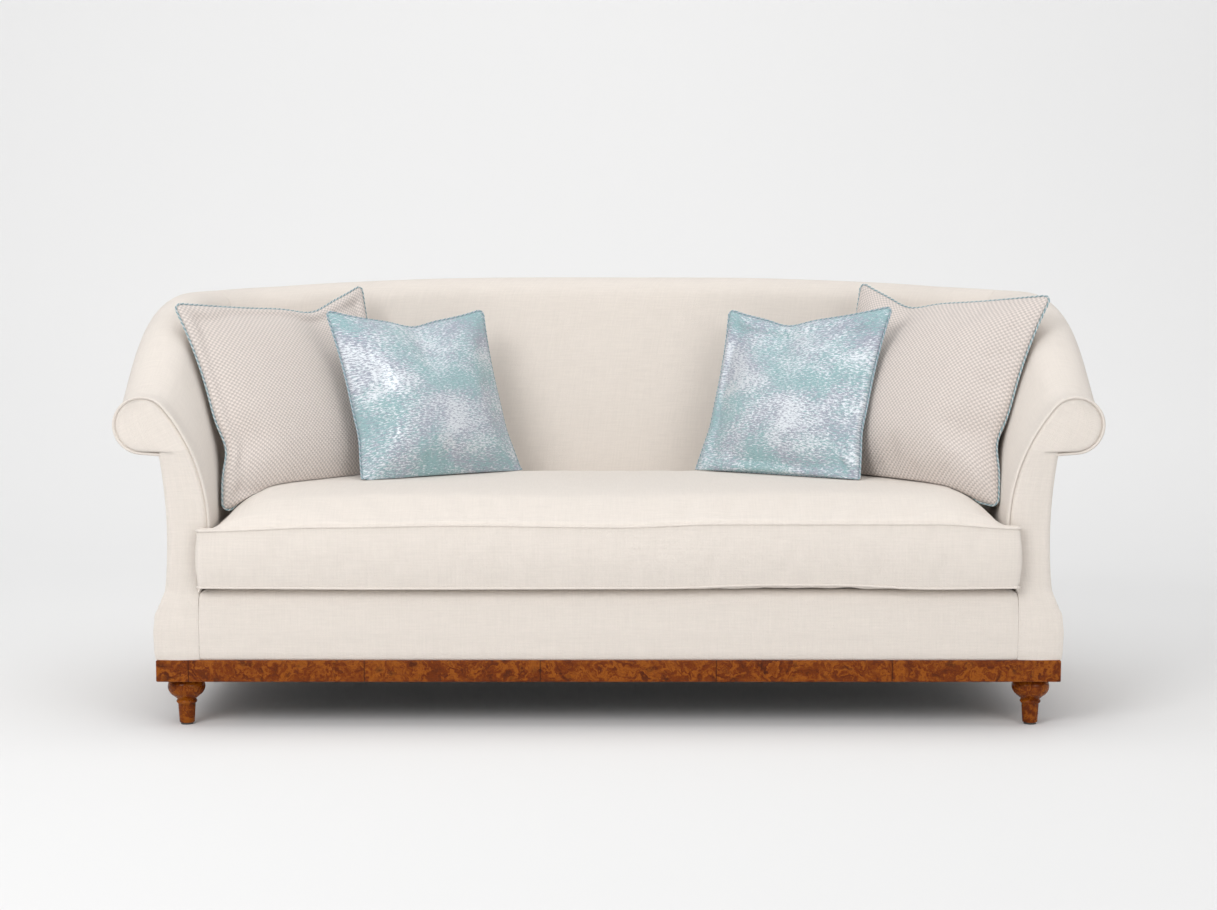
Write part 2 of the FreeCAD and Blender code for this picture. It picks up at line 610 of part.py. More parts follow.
def borders():
    low, belly, brow = swell_edges(-ARM_IN_X)
    x = -ARM_IN_X
    lip_y = BOARD_BACK_Y - 2.0
    crown_z = DECK_TOP - 3.0
    crown = V(x, FACE_Y + 8.0, crown_z)
    shoulder = V(x, FACE_Y - BORDER_SWELL / 2, RAIL_TOP + 8.0)
    path = [crown, V(x, lip_y, crown_z), V(x, lip_y, RAIL_TOP), V(x, BOARD_Y, RAIL_TOP), V(x, BOARD_Y, RAIL_Z), low]
    edges = [arc(low, belly, brow), arc(brow, shoulder, crown)]
    edges += [line(a, b) for a, b in zip(path, path[1:])]
    border = extrude(edges, V(2 * ARM_IN_X, 0, 0))
    notch = box(ARM_IN_X - BORDER_NOTCH, ARM_IN_X + 1.0, FACE_Y - CLEAR, lip_y + 1.0, RAIL_TOP, crown_z + 1.0)
    nodes["front_border"] = border.cut(notch).cut(mirrored(notch))
    top = RAIL_TOP - 1.0
    y = BOARD_Y + CLEAR
    side = [V(RAIL_OUT_X, y, RAIL_Z), V(BORDER_X - 3.0, y, RAIL_Z), V(BORDER_X, y, mix(RAIL_Z, RAIL_TOP, 0.5)),
            V(BORDER_X - 5.0, y, RAIL_TOP - BORDER_BEND), V(BORDER_X - 11.0, y, RAIL_TOP - 10.0), V(RAIL_OUT_X, y, top)]
    edges = [line(side[0], side[1]), arc(*side[1:4]), arc(*side[3:6]), line(side[5], side[0])]
    both_sides("side_border", extrude(edges, V(0, BORDER_BACK_Y - y, 0)))
    x = -RAIL_OUT_X + CLEAR
    back = [V(x, RAIL_BACK_Y, RAIL_Z), V(x, BORDER_BACK_Y - 3.0, RAIL_Z),
            V(x, BORDER_BACK_Y, mix(RAIL_Z, RAIL_TOP, 0.5)), V(x, BORDER_BACK_Y - 5.0, RAIL_TOP - BORDER_BEND),
            V(x, BORDER_BACK_Y - 11.0, RAIL_TOP - 10.0), V(x, RAIL_BACK_Y, top)]
    edges = [line(back[0], back[1]), arc(*back[1:4]), arc(*back[3:6]), line(back[5], back[0])]
    nodes["back_border"] = extrude(edges, V(-2 * x, 0, 0))


# Seat cushion: a boxed cushion whose front corners reach past the arm fronts
def seat_plan(grow, z):
    front = FRONT + 2 * WELT_R + WELT_GAP - grow
    ear_back = FACE_Y - SEAT_EAR_GAP + grow
    side = SEAT_HALF + grow
    ear = SEAT_HALF + SEAT_EAR + grow
    rear = CORNER_Y + BACK_CORNER_R - SEAT_REAR_GAP + grow
    right = [(ear, front), (ear, ear_back), (side, ear_back), (side, rear)]
    left = [(-x, y) for x, y in reversed(right)]
    outer_r = SEAT_EAR_R + grow
    inner_r = SEAT_EAR_R - grow
    radii = [outer_r, outer_r, inner_r, SEAT_REAR_R + grow]
    return rounded(right + left, radii + radii[::-1], z)


def seat_crown_plan(inset, z):
    x = SEAT_HALF - inset
    front = FRONT + 2 * WELT_R + WELT_GAP + inset
    rear = CORNER_Y + BACK_CORNER_R - SEAT_REAR_GAP - CROWN_REAR * inset
    return rounded([(x, front), (x, rear), (-x, rear), (-x, front)], [SEAT_REAR_R + inset / 4] * 4, z)


def welt(z):
    return cord(seat_plan(WELT_R + WELT_GAP, z), WELT_R)


def seat_cushion():
    z0 = DECK_TOP + REST_GAP
    z1 = z0 + SEAT_BOX_H
    boxing = loft([seat_plan(-1.0, z0), seat_plan(1.0, mix(z0, z1, 0.5)), seat_plan(-1.0, z1)])
    crown = loft([seat_crown_plan(1.0 + CROWN_RUN * (1 - math.sqrt(1 - rise * rise)), z1 + rise * SEAT_CROWN)
                  for rise in CROWN_LEVELS])
    core = box(-SEAT_HALF + CORE_INSET, SEAT_HALF - CORE_INSET, FRONT + CORE_INSET,
               CORNER_Y + BACK_CORNER_R - SEAT_REAR_GAP - CORE_INSET, z0 + CORE_RISE, z0 + CORE_RISE + CORE_H)
    nodes["seat_cushion_cover"] = boxing.fuse(crown).cut(core)
    nodes["seat_cushion_core"] = core
    nodes["seat_cushion_bottom_welt"] = welt(z0 + WELT_R)
    nodes["seat_cushion_top_welt"] = welt(z1 - WELT_R)


# Scatter cushions: knife-edged squares with drawn-in sides and a full crown
def pillow_outline(half, rise, z, grow=0.0):
    """Level outline: four side arcs, drawn in at the seam and full higher up, and four round corners."""
    middle = PILLOW_DRAW * math.sqrt(1 - rise ** PILLOW_FULL)
    corner_r = PILLOW_CORNER + 0.5 * rise * middle
    bow = 1 / (PILLOW_BOW - rise * rise / middle)
    middle, bow, corner_r = half * middle + grow, half * bow - grow, half * corner_r + grow
    reach = middle + bow
    root = math.sqrt(2 * (bow + corner_r) ** 2 - reach ** 2)
    centre = (reach - math.copysign(root, bow)) / 2
    toward = V(-centre, reach - centre, 0).normalize() * math.copysign(1, bow)
    corner = V(centre, centre, 0)
    end = corner + toward * corner_r
    tip = corner + V(1, 1, 0).normalize() * corner_r
    edges = []
    for turn in range(4):
        spin = FreeCAD.Rotation(V(0, 0, 1), -90 * turn)
        marks = (V(-end.x, end.y, z), V(0, middle, z), V(end.x, end.y, z), V(tip.x, tip.y, z), V(end.y, end.x, z))
        start, top, stop, point, side = (spin.multVec(m) for m in marks)
        edges += [arc(start, top, stop), arc(stop, point, side)]
    return Part.Wire(edges)


def pillow(half, thick):
    upper = loft([pillow_outline(half, rise, rise * thick) for rise in PILLOW_LEVELS])
    return upper.fuse(upper.mirror(V(0, 0, 0), V(0, 0, 1)))


def pillow_insert(half, thick):
    """Stuffed inner pad: a slab that thins to its edges."""
    wires = []
    for z, share in ((-INSERT_THICK, INSERT_FACE), (0.0, INSERT_SEAM), (INSERT_THICK, INSERT_FACE)):
        side = half * share
        wires.append(Part.Wire(polygon([V(x * side, y * side, z * thick)
                                        for x, y in ((1, 1), (-1, 1), (-1, -1), (1, -1))])))
    return loft(wires)


def piping(half):
    return cord(pillow_outline(half, 0.0, 0.0, PIPING_R + WELT_GAP), PIPING_R)


def pose_rotation(pose):
    """Rotation that stands a flat cushion up, leans it back and turns it to face the room."""
    upright = FreeCAD.Rotation(V(1, 0, 0), 90 - pose.lean)
    return (FreeCAD.Rotation(V(0, 0, 1), pose.turn)
            .multiply(upright).multiply(FreeCAD.Rotation(V(0, 0, 1), pose.roll)))


def scatter_cushion(name, half, thick, pose):
    centre = V(pose.side * (ARM_IN_X - pose.in_from_arm), CORNER_Y + pose.behind, SEAT_TOP + pose.over_seat)
    place = FreeCAD.Placement(centre, pose_rotation(pose))
    insert = pillow_insert(half, thick)
    cover = pillow(half, thick).cut(insert)
    for part, shape in (("cover", cover), ("insert", insert), ("piping", piping(half))):
        shape.Placement = place
        nodes[name + "_" + part] = shape


def main():
    upholstery()
    back_frame()
    plinth()
    base()
    seat_frame()
    borders()
    seat_cushion()
    for side, large, small in (("left", LEFT_LARGE, LEFT_SMALL), ("right", RIGHT_LARGE, RIGHT_SMALL)):
        scatter_cushion(side + "_large_cushion", LARGE_HALF, LARGE_THICK, large)
        scatter_cushion(side + "_small_cushion", SMALL_HALF, SMALL_THICK, small)
    os.makedirs("parts", exist_ok=True)
    for name, shape in nodes.items():
        shape.exportStep("parts/" + name + ".step")


main()
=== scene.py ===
import json
import math
from collections import namedtuple

import bmesh
import bpy
from bpy.props import FloatProperty, FloatVectorProperty, PointerProperty
from mathutils import Matrix, Vector, noise
from mathutils.bvhtree import BVHTree
from mathutils.kdtree import KDTree

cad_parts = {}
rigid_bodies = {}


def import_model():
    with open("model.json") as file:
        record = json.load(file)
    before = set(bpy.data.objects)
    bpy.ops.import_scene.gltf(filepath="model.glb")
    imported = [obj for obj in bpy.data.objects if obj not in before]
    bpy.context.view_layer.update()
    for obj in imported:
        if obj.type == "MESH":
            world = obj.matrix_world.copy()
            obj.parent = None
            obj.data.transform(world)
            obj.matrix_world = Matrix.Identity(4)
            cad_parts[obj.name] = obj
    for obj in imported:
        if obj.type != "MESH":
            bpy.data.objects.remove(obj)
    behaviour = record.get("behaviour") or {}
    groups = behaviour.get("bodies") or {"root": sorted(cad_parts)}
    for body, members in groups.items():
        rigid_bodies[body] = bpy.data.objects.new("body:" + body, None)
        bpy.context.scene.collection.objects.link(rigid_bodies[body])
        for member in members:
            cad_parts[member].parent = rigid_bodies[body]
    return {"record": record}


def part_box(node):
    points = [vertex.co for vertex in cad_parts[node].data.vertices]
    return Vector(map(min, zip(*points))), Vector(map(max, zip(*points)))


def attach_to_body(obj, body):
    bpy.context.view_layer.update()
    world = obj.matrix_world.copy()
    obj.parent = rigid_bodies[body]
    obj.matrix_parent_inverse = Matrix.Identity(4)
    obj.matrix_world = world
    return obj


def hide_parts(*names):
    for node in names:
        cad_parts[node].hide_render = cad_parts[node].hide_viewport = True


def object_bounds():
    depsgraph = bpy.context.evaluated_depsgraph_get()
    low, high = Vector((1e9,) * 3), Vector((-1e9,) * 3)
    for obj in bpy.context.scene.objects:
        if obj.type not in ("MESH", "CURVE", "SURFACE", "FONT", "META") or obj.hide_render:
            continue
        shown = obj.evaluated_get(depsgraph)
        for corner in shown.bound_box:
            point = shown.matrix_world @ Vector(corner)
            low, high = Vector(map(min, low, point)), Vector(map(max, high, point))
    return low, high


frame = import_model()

bl_info = {
    "name": "Scroll-arm sofa",
    "version": (1, 0, 0),
    "blender": (4, 5, 0),
    "location": "3D View > Sidebar > Sofa",
    "description": "Dresses the sofa's frame with upholstery, cushions, veneer and a studio stage",
    "category": "Object",
}

CAD_BOX = [list(corner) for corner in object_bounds()]

# Planes and levels of the sofa, in metres, read from the frame
HALF = CAD_BOX[1][0]
FRONT, BACK = CAD_BOX[0][1], CAD_BOX[1][1]
RAIL_Z, RAIL_TOP = (corner.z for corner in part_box("front_seat_rail"))
PAD_Z, BACK_TOP = (corner.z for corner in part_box("back_pad"))
DECK_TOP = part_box("seat_deck")[1].z
RAIL_OUT_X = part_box("right_seat_rail")[1].x
RAIL_BACK_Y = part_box("back_seat_rail")[1].y
BORDER_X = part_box("right_side_border")[1].x
BORDER_BACK_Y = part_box("back_border")[1].y
PLINTH_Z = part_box("plinth_front")[0].z

# The rest of the section's sizes, in metres
WELT_BELOW_TOP = 0.0003
ARM_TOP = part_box("left_arm_facing_welt")[1].z + WELT_BELOW_TOP
BACK_DROP = 0.031
ARM_SCROLL_R, BACK_SCROLL_R = 0.066, 0.065
ARM_T, BACK_T = 0.102, 0.250
ARM_CORNER_R, BACK_CORNER_R = 0.071, 0.045
ARM_ROLL_ANGLE, BACK_ROLL_ANGLE = math.radians(140), math.radians(166)
LIP_IN, BACK_LIP_IN = 0.036, 0.026
LIP_DROP = 0.003
ARM_WAIST = 0.011
PANEL_T = 0.010
ARM_SLOT, BACK_SLOT = 0.029, 0.085
ARM_SLOT_TOP, BACK_SLOT_TOP = 0.034, 0.120
FACE_Y = FRONT + 0.037
BOARD_Y = FACE_Y + 0.014
SWEEP_START, SWEEP_RATE, SWEEP_POWER = 0.07, 3.9, 1.45
BACK_DROP_POWER = 2.8
MITRE = 45

ARM_IN_X = BORDER_X - ARM_T
PANEL_X = RAIL_OUT_X + 0.001
SCROLL_X = HALF - ARM_SCROLL_R
CORNER_X = ARM_IN_X - ARM_CORNER_R
CORNER_Y = BACK - BACK_T - BACK_CORNER_R
ARM_LENGTH = CORNER_Y - BOARD_Y
ARM_SCROLL_Z = ARM_TOP - ARM_SCROLL_R
BACK_SCROLL_Z = BACK_TOP - BACK_SCROLL_R
MITRE_Z = BACK_SCROLL_Z - BACK_DROP
CORNER_LENGTH = math.pi / 2 * (ARM_CORNER_R + BACK_CORNER_R)
BACK_PATH = CORNER_X + CORNER_LENGTH / 2

# How far neighbouring covers overlap, and how far a cover stands off the frame behind it
LAP = 0.0015
STAND_OFF = 0.0005


def mix(a, b, t):
    return a + (b - a) * t


def smooth(t):
    t = max(0.0, min(1.0, t))
    return t * t * (3 - 2 * t)


def eased(pairs, x):
    """Smooth curve through (place, value) pairs."""
    if x <= pairs[0][0]:
        return pairs[0][1]
    for (x0, v0), (x1, v1) in zip(pairs, pairs[1:]):
        if x <= x1:
            return mix(v0, v1, smooth((x - x0) / (x1 - x0)))
    return pairs[-1][1]


def pinch(near, depth, run, power=2):
    """How far cloth is drawn in at a distance from its edge."""
    return depth * max(0.0, 1 - near / run) ** power


def crowded(count, even=0.0):
    """Marks from -1 to 1 that crowd towards both ends, the less the more even they are."""
    return [mix(-math.cos(math.pi * i / count), 2 * i / count - 1, even) for i in range(count + 1)]


def turn_points(centre, radius, start, end, steps, count):
    """The first count places on the way round a centre from one angle to another."""
    angles = [mix(start, end, i / steps) for i in range(count)]
    return [(centre[0] + radius * math.cos(a), centre[1] + radius * math.sin(a)) for a in angles]


def arc_points(a, m, b, count):
    """Points on the circle from a through m to b, all in one plane of two numbers."""
    (ax, ay), (mx, my), (bx, by) = a, m, b
    a2, m2, b2 = (x * x + y * y for x, y in (a, m, b))
    d = 2 * (ax * (my - by) + mx * (by - ay) + bx * (ay - my))
    cx = (a2 * (my - by) + m2 * (by - ay) + b2 * (ay - my)) / d
    cy = (a2 * (bx - mx) + m2 * (ax - bx) + b2 * (mx - ax)) / d
    turns = [math.atan2(y - cy, x - cx) for x, y in (a, m, b)]
    for i in (1, 2):
        turns[i] -= 2 * math.pi * round((turns[i] - turns[i - 1]) / (2 * math.pi))
    radius = math.hypot(ax - cx, ay - cy)
    return turn_points((cx, cy), radius, turns[0], turns[2], count, count + 1)


def run_points(a, b, count):
    """Points from a towards b, without b."""
    return [(mix(a[0], b[0], i / count), mix(a[1], b[1], i / count)) for i in range(count)]


def mirrored(loops):
    return [[Vector((-p.x, p.y, p.z)) for p in loop] for loop in loops]


# Meshes

MERGE = 1e-6
HAND_SEED = 7
HAND_SCALE = 3.3


def cells(rows, cols):
    """Places (row, column) of the corners of each cell of a grid."""
    for i in range(rows):
        for j in range(cols):
            yield (i, j), (i, j + 1), (i + 1, j + 1), (i + 1, j)


def rim(sheet):
    """Corners round the edge of a grid, in order."""
    ring = sheet[0] + [row[-1] for row in sheet[1:]]
    return ring + sheet[-1][-2::-1] + [row[0] for row in sheet[-2:0:-1]]


def new_piece(name, bm):
    """Object at the origin with the finished mesh, its faces outward."""
    bmesh.ops.recalc_face_normals(bm, faces=bm.faces)
    mesh = bpy.data.meshes.new(name)
    bm.to_mesh(mesh)
    bm.free()
    piece = bpy.data.objects.new(name, mesh)
    bpy.context.collection.objects.link(piece)
    return piece


def merged_piece(name, bm):
    bmesh.ops.remove_doubles(bm, verts=bm.verts, dist=MERGE)
    return new_piece(name, bm)


def skin(name, loops, wrap=False):
    """Plain surface over rows of points; wrap joins the last row to the first."""
    bm = bmesh.new()
    verts = [[bm.verts.new(p) for p in loop] for loop in loops]
    rows = len(verts)
    for cell in cells(rows if wrap else rows - 1, len(verts[0]) - 1):
        bm.faces.new([verts[i % rows][j] for i, j in cell]).smooth = True
    return merged_piece(name, bm)


def loft(name, loops, hand=0.0, flip=False):
    """Closed skin over loops of equal count, with its cloth coordinates in metres."""
    rows, cols = len(loops), len(loops[0])
    if flip:
        loops = mirrored(loops)
    if hand:
        # Without a seed the noise vector takes one from the clock
        noise.seed_set(HAND_SEED)
        loops = [[p + hand * noise.noise_vector(p * HAND_SCALE) for p in loop] for loop in loops]
    bm = bmesh.new()
    cloth = bm.loops.layers.uv.new("cloth")
    verts = [[bm.verts.new(p) for p in loop] for loop in loops]
    middle = loops[rows // 2]
    across = [0.0]
    for j in range(cols):
        across.append(across[-1] + (middle[(j + 1) % cols] - middle[j]).length)
    along = [[0.0] * cols]
    for before, loop in zip(loops, loops[1:]):
        along.append([along[-1][j] + (loop[j] - before[j]).length for j in range(cols)])
    for cell in cells(rows - 1, cols):
        face = bm.faces.new([verts[i][j % cols] for i, j in cell])
        face.smooth = True
        for corner, (i, j) in zip(face.loops, cell):
            corner[cloth].uv = (across[j], along[i][j % cols])
    for ring in (verts[0], verts[-1]):
        cap = bm.faces.new(ring)
        for corner in cap.loops:
            corner[cloth].uv = corner.vert.co.xz
        for edge in cap.edges:
            edge.smooth = False
    return merged_piece(name, bm)


def attach(piece, body, slot, *nodes):
    """Body and replaced nodes of one piece; slot is not used."""
    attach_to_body(piece, body)
    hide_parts(*nodes)


def paint(piece, material):
    piece.data.materials.clear()
    piece.data.materials.append(material)


def dress(piece, material, body, slot, *nodes, fill=None):
    """Finish, body and replaced nodes of one piece; fill, how full it is if padded, is not used."""
    paint(piece, material)
    attach(piece, body, slot, *nodes)


# Sewn cords

CORD_SIZES = {"Radius": 0.003, "Lay Radius": 0.0, "Lay Length": 0.02, "Phase": 0.0, "Step": 0.004}
CORD_SIDES = 8


def cord_tree():
    """Sewn cord along a path: one round strand, or one of several laid round each other."""
    name = "sewn_cord"
    if name in bpy.data.node_groups:
        return bpy.data.node_groups[name]
    tree = bpy.data.node_groups.new(name, "GeometryNodeTree")
    face = tree.interface
    face.new_socket("Path", in_out="INPUT", socket_type="NodeSocketGeometry")
    for label, start in CORD_SIZES.items():
        socket = face.new_socket(label, in_out="INPUT", socket_type="NodeSocketFloat")
        socket.default_value = start
    face.new_socket("Finish", in_out="INPUT", socket_type="NodeSocketMaterial")
    face.new_socket("Cord", in_out="OUTPUT", socket_type="NodeSocketGeometry")
    n = Nodes(tree)
    given = n.add("NodeGroupInput").outputs
    curve = n.add("GeometryNodeMeshToCurve", {"Mesh": given["Path"]}).outputs["Curve"]
    even = n.add("GeometryNodeResampleCurve", {"Curve": curve, "Length": given["Step"]},
                 mode="LENGTH").outputs["Curve"]
    along = n.add("GeometryNodeSplineParameter").outputs["Length"]
    turn = n.times(n.math("DIVIDE", along, given["Lay Length"]), 2 * math.pi)
    angle = n.plus(turn, given["Phase"])
    normal = n.add("GeometryNodeInputNormal").outputs["Normal"]
    tangent = n.add("GeometryNodeInputTangent").outputs["Tangent"]
    side = n.vector("CROSS_PRODUCT", normal, tangent)
    reach = [n.vector("SCALE", axis, n.times(n.math(operation, angle), given["Lay Radius"]))
             for operation, axis in (("COSINE", normal), ("SINE", side))]
    made = n.add("GeometryNodeSetPosition", {"Geometry": even, "Offset": n.vector("ADD", *reach)})
    ring = n.add("GeometryNodeCurvePrimitiveCircle",
                 {"Resolution": CORD_SIDES, "Radius": given["Radius"]}).outputs["Curve"]
    made = n.add("GeometryNodeCurveToMesh", {"Curve": made.outputs["Geometry"],
                                             "Profile Curve": ring, "Fill Caps": True})
    made = n.add("GeometryNodeSetShadeSmooth", {"Geometry": made.outputs["Mesh"]})
    made = n.add("GeometryNodeRealizeInstances", {"Geometry": made.outputs["Geometry"]})
    made = n.add("GeometryNodeSetMaterial", {"Geometry": made.outputs["Geometry"],
                                             "Material": given["Finish"]})
    n.add("NodeGroupOutput", {"Cord": made.outputs["Geometry"]})
    return tree


def cord_mesh(points, closed, material, sizes):
    """Mesh of one strand along the points."""
    path = bpy.data.meshes.new("cord_path")
    edges = [(i, i + 1) for i in range(len(points) - 1)]
    if closed:
        edges.append((len(points) - 1, 0))
    path.from_pydata([tuple(p) for p in points], edges, [])
    holder = bpy.data.objects.new("cord_path", path)
    bpy.context.collection.objects.link(holder)
    modifier = holder.modifiers.new("sewn_cord", "NODES")
    modifier.node_group = cord_tree()
    sockets = modifier.node_group.interface.items_tree
    keys = {item.name: item.identifier for item in sockets if item.in_out == "INPUT"}
    for label, value in sizes.items():
        modifier[keys[label]] = value
    modifier[keys["Finish"]] = material
    graph = bpy.context.evaluated_depsgraph_get()
    mesh = bpy.data.meshes.new_from_object(holder.evaluated_get(graph))
    bpy.data.objects.remove(holder)
    bpy.data.meshes.remove(path)
    return mesh


def sewn_cord(name, points, closed, strands):
    """One piece from one or more strands, each a material and its sizes."""
    bm = bmesh.new()
    for number, (material, sizes) in enumerate(strands):
        mesh = cord_mesh(points, closed, material, sizes)
        first = len(bm.faces)
        bm.from_mesh(mesh)
        bm.faces.ensure_lookup_table()
        for face in bm.faces[first:]:
            face.material_index = number
        bpy.data.meshes.remove(mesh)
    piece = new_piece(name, bm)
    for material, _sizes in strands:
        piece.data.materials.append(material)
    return piece


# Filling

CLOTH_RULES = {"quality": 6, "mass": 0.25, "tension_stiffness": 14.0, "compression_stiffness": 10.0,
               "shear_stiffness": 6.0, "bending_stiffness": 0.35, "use_pressure": True}
CLOTH_FRAMES = 20


def plump(piece, seam, pressure, cap, grow, ease):
    """Fills a sewn cover by a short cloth simulation; the cloth eases into its fixed seams."""
    scene = bpy.context.scene
    group = piece.vertex_groups.new(name="seam")
    group.add(list(seam), 1.0, "REPLACE")
    before = [v.co.copy() for v in piece.data.vertices]
    cloth = piece.modifiers.new("plump", "CLOTH")
    rules = cloth.settings
    for key, value in CLOTH_RULES.items():
        setattr(rules, key, value)
    rules.vertex_group_mass = group.name
    rules.uniform_pressure_force = pressure
    rules.shrink_min = -grow
    rules.effector_weights.gravity = 0.0
    cloth.collision_settings.use_collision = False
    cloth.point_cache.frame_start = 1
    cloth.point_cache.frame_end = CLOTH_FRAMES
    for step in range(1, CLOTH_FRAMES + 1):
        scene.frame_set(step)
    graph = bpy.context.evaluated_depsgraph_get()
    after = [v.co.copy() for v in piece.evaluated_get(graph).data.vertices]
    piece.modifiers.remove(cloth)
    piece.vertex_groups.clear()
    scene.frame_set(1)
    near = KDTree(len(seam))
    for i in seam:
        near.insert(before[i], i)
    near.balance()
    for vert, old, new in zip(piece.data.vertices, before, after):
        move = (new - old) * smooth(near.find(old)[2] / ease)
        if move.length > cap:
            move *= cap / move.length
        vert.co = old + move
    piece.data.update()


def soften(piece):
    modifier = piece.modifiers.new("smooth", "SUBSURF")
    modifier.levels = modifier.render_levels = 1


# Section, arms and back

Section = namedtuple("Section", "r scroll foot angle big big_r lip slot_top slot")
FACE_STEPS, ROLL_STEPS = 28, 30
LIP_STEPS, SLOT_STEPS, FOOT_STEPS = 3, 5, 2


def section(blend, roll, scroll_z):
    """Cut through the arm (blend 0) or the back (blend 1), as (outward, up) from the corner."""
    r = mix(ARM_SCROLL_R, BACK_SCROLL_R, blend)
    outward = mix(SCROLL_X - CORNER_X, BACK - BACK_SCROLL_R - CORNER_Y, blend)
    scroll = Vector((outward, scroll_z))
    foot = Vector((mix(ARM_CORNER_R, BACK_CORNER_R, blend), PAD_Z))
    angle = mix(ARM_ROLL_ANGLE, BACK_ROLL_ANGLE, roll)
    normal = Vector((math.cos(angle), math.sin(angle)))
    chord = foot - (scroll + normal * r)
    big_r = -chord.dot(chord) / (2 * normal.dot(chord))
    big = scroll + normal * (r - big_r)
    lip = Vector((scroll.x - mix(LIP_IN, BACK_LIP_IN, blend), scroll_z - r - LIP_DROP))
    slot_top = Vector((foot.x + mix(ARM_SLOT_TOP, BACK_SLOT_TOP, blend), lip.y))
    slot = Vector((foot.x + mix(ARM_SLOT, BACK_SLOT, blend), PAD_Z))
    return Section(r, scroll, foot, angle, big, big_r, lip, slot_top, slot)


def skin_line(cut, inset=0.0):
    """Visible line of a section, from its foot up the inside and round the scroll."""
    start = math.atan2(cut.foot.y - cut.big.y, cut.foot.x - cut.big.x) % (2 * math.pi)
    face = turn_points(cut.big, cut.big_r - inset, start, cut.angle, FACE_STEPS, FACE_STEPS)
    return face + turn_points(cut.scroll, cut.r - inset, cut.angle, -math.pi / 2,
                              ROLL_STEPS, ROLL_STEPS + 1)


def section_loop(blend, roll, scroll_z, inset=0.0):
    """A whole section: its skin, the lip under the scroll and the slot for the frame."""
    cut = section(blend, roll, scroll_z)
    line = skin_line(cut, inset)
    corner = (cut.lip.x, cut.lip.y + inset)
    loop = line[:-1] + run_points(line[-1], corner, LIP_STEPS)
    loop += run_points(corner, cut.slot_top, LIP_STEPS)
    loop += run_points(cut.slot_top, cut.slot, SLOT_STEPS)
    return loop + run_points(cut.slot, line[0], FOOT_STEPS)


def climb(along):
    """Share of the sweep from the arm's height to the back's."""
    def rise(length):
        share = max(0.0, length / ARM_LENGTH - SWEEP_START)
        return 1 - math.exp(-SWEEP_RATE * share ** SWEEP_POWER)
    return min(1.0, rise(along) / rise(ARM_LENGTH + CORNER_LENGTH / 2))


def arm_scroll_z(along):
    return mix(ARM_SCROLL_Z, MITRE_Z, climb(along))


def back_scroll_z(x):
    return BACK_SCROLL_Z - BACK_DROP * min(1.0, x / BACK_PATH) ** BACK_DROP_POWER


def placed(x, y, angle, loop):
    a = math.radians(angle)
    return [Vector((x + u * math.cos(a), y + u * math.sin(a), z)) for u, z in loop]


def corner_loop(angle, inset=0.0):
    along = ARM_LENGTH + angle / 90 * CORNER_LENGTH
    z = arm_scroll_z(along)
    if angle > MITRE:
        z = back_scroll_z(CORNER_X + (90 - angle) / 90 * CORNER_LENGTH)
    loop = section_loop(smooth(angle / 90), climb(along), z, inset)
    return placed(CORNER_X, CORNER_Y, angle, loop)


# Turned front edge of the arm's cover: how far behind the face, how far inside the skin
TURNED_EDGE = ((0.008, 0.0078), (0.0035, 0.0068), (0.0012, 0.0045), (0.0014, 0.0022),
               (0.0045, 0.0004))
# Turned edge at the mitre: degrees from it, how far inside the skin
MITRE_EDGE = ((0.5, 0.0006), (0.05, 0.0022))
ARM_ROWS, BACK_ROWS = 34, 28
ARM_CORNER = (0, 6, 12, 18, 24, 30, 36, 41, 43.5)
BACK_CORNER = (46.5, 49, 54, 60, 66, 72, 78, 84)


def arm_loops():
    """Right arm, from the turned front edge of its cover to the sewn mitre."""
    loops = [placed(CORNER_X, FACE_Y + behind, 0.0, section_loop(0.0, 0.0, ARM_SCROLL_Z, inset))
             for behind, inset in TURNED_EDGE]
    for i in range(ARM_ROWS):
        along = ARM_LENGTH * i / ARM_ROWS
        loop = section_loop(0.0, climb(along), arm_scroll_z(along))
        loops.append(placed(CORNER_X, BOARD_Y + along, 0.0, loop))
    loops += [corner_loop(angle) for angle in ARM_CORNER]
    return loops + [corner_loop(MITRE - short, inset) for short, inset in MITRE_EDGE]


def back_loops():
    """Back from mitre to mitre; its left half mirrors the right one."""
    loops = [corner_loop(MITRE + past, inset) for past, inset in reversed(MITRE_EDGE)]
    loops += [corner_loop(angle) for angle in BACK_CORNER]
    for i in range(BACK_ROWS):
        x = mix(CORNER_X, 0.0, i / BACK_ROWS)
        loops.append(placed(x, CORNER_Y, 90.0, section_loop(1.0, 1.0, back_scroll_z(x))))
    middle = placed(0.0, CORNER_Y, 90.0, section_loop(1.0, 1.0, BACK_SCROLL_Z))
    return loops + [middle] + mirrored(reversed(loops))


# Arm fronts

ARM_FRONT_CUT = section(0.0, 0.0, ARM_SCROLL_Z)
HIP_TOP = RAIL_TOP + 0.004
# Height and how far the base band stands out, or where its outer edge lies
BAND = ((RAIL_Z, 0.006), (RAIL_Z + 0.02, 0.010), (RAIL_Z + 0.07, 0.0128),
        (RAIL_TOP - 0.022, 0.0105), (RAIL_TOP - 0.006, 0.0072), (HIP_TOP, 0.0032),
        (RAIL_TOP + 0.014, 0.0))
HIP = ((RAIL_Z, BORDER_X - 0.003), (RAIL_Z + 0.02, BORDER_X - 0.0008), (RAIL_Z + 0.06, BORDER_X),
       (RAIL_TOP - 0.045, BORDER_X - 0.003), (RAIL_TOP - 0.012, PANEL_X + 0.006),
       (HIP_TOP, PANEL_X))
FRONT_LEVELS, FRONT_ROLL, FRONT_COLS, FRONT_BACK_COLS = 56, 26, 26, 6
FRONT_RIM = 0.011
FRONT_RIM_DEPTH = 0.0065
BAND_RIM_OUT, BAND_RIM_IN = 0.003, 0.0012
FRONT_FULL, FRONT_FULL_RUN = 0.0025, 0.06


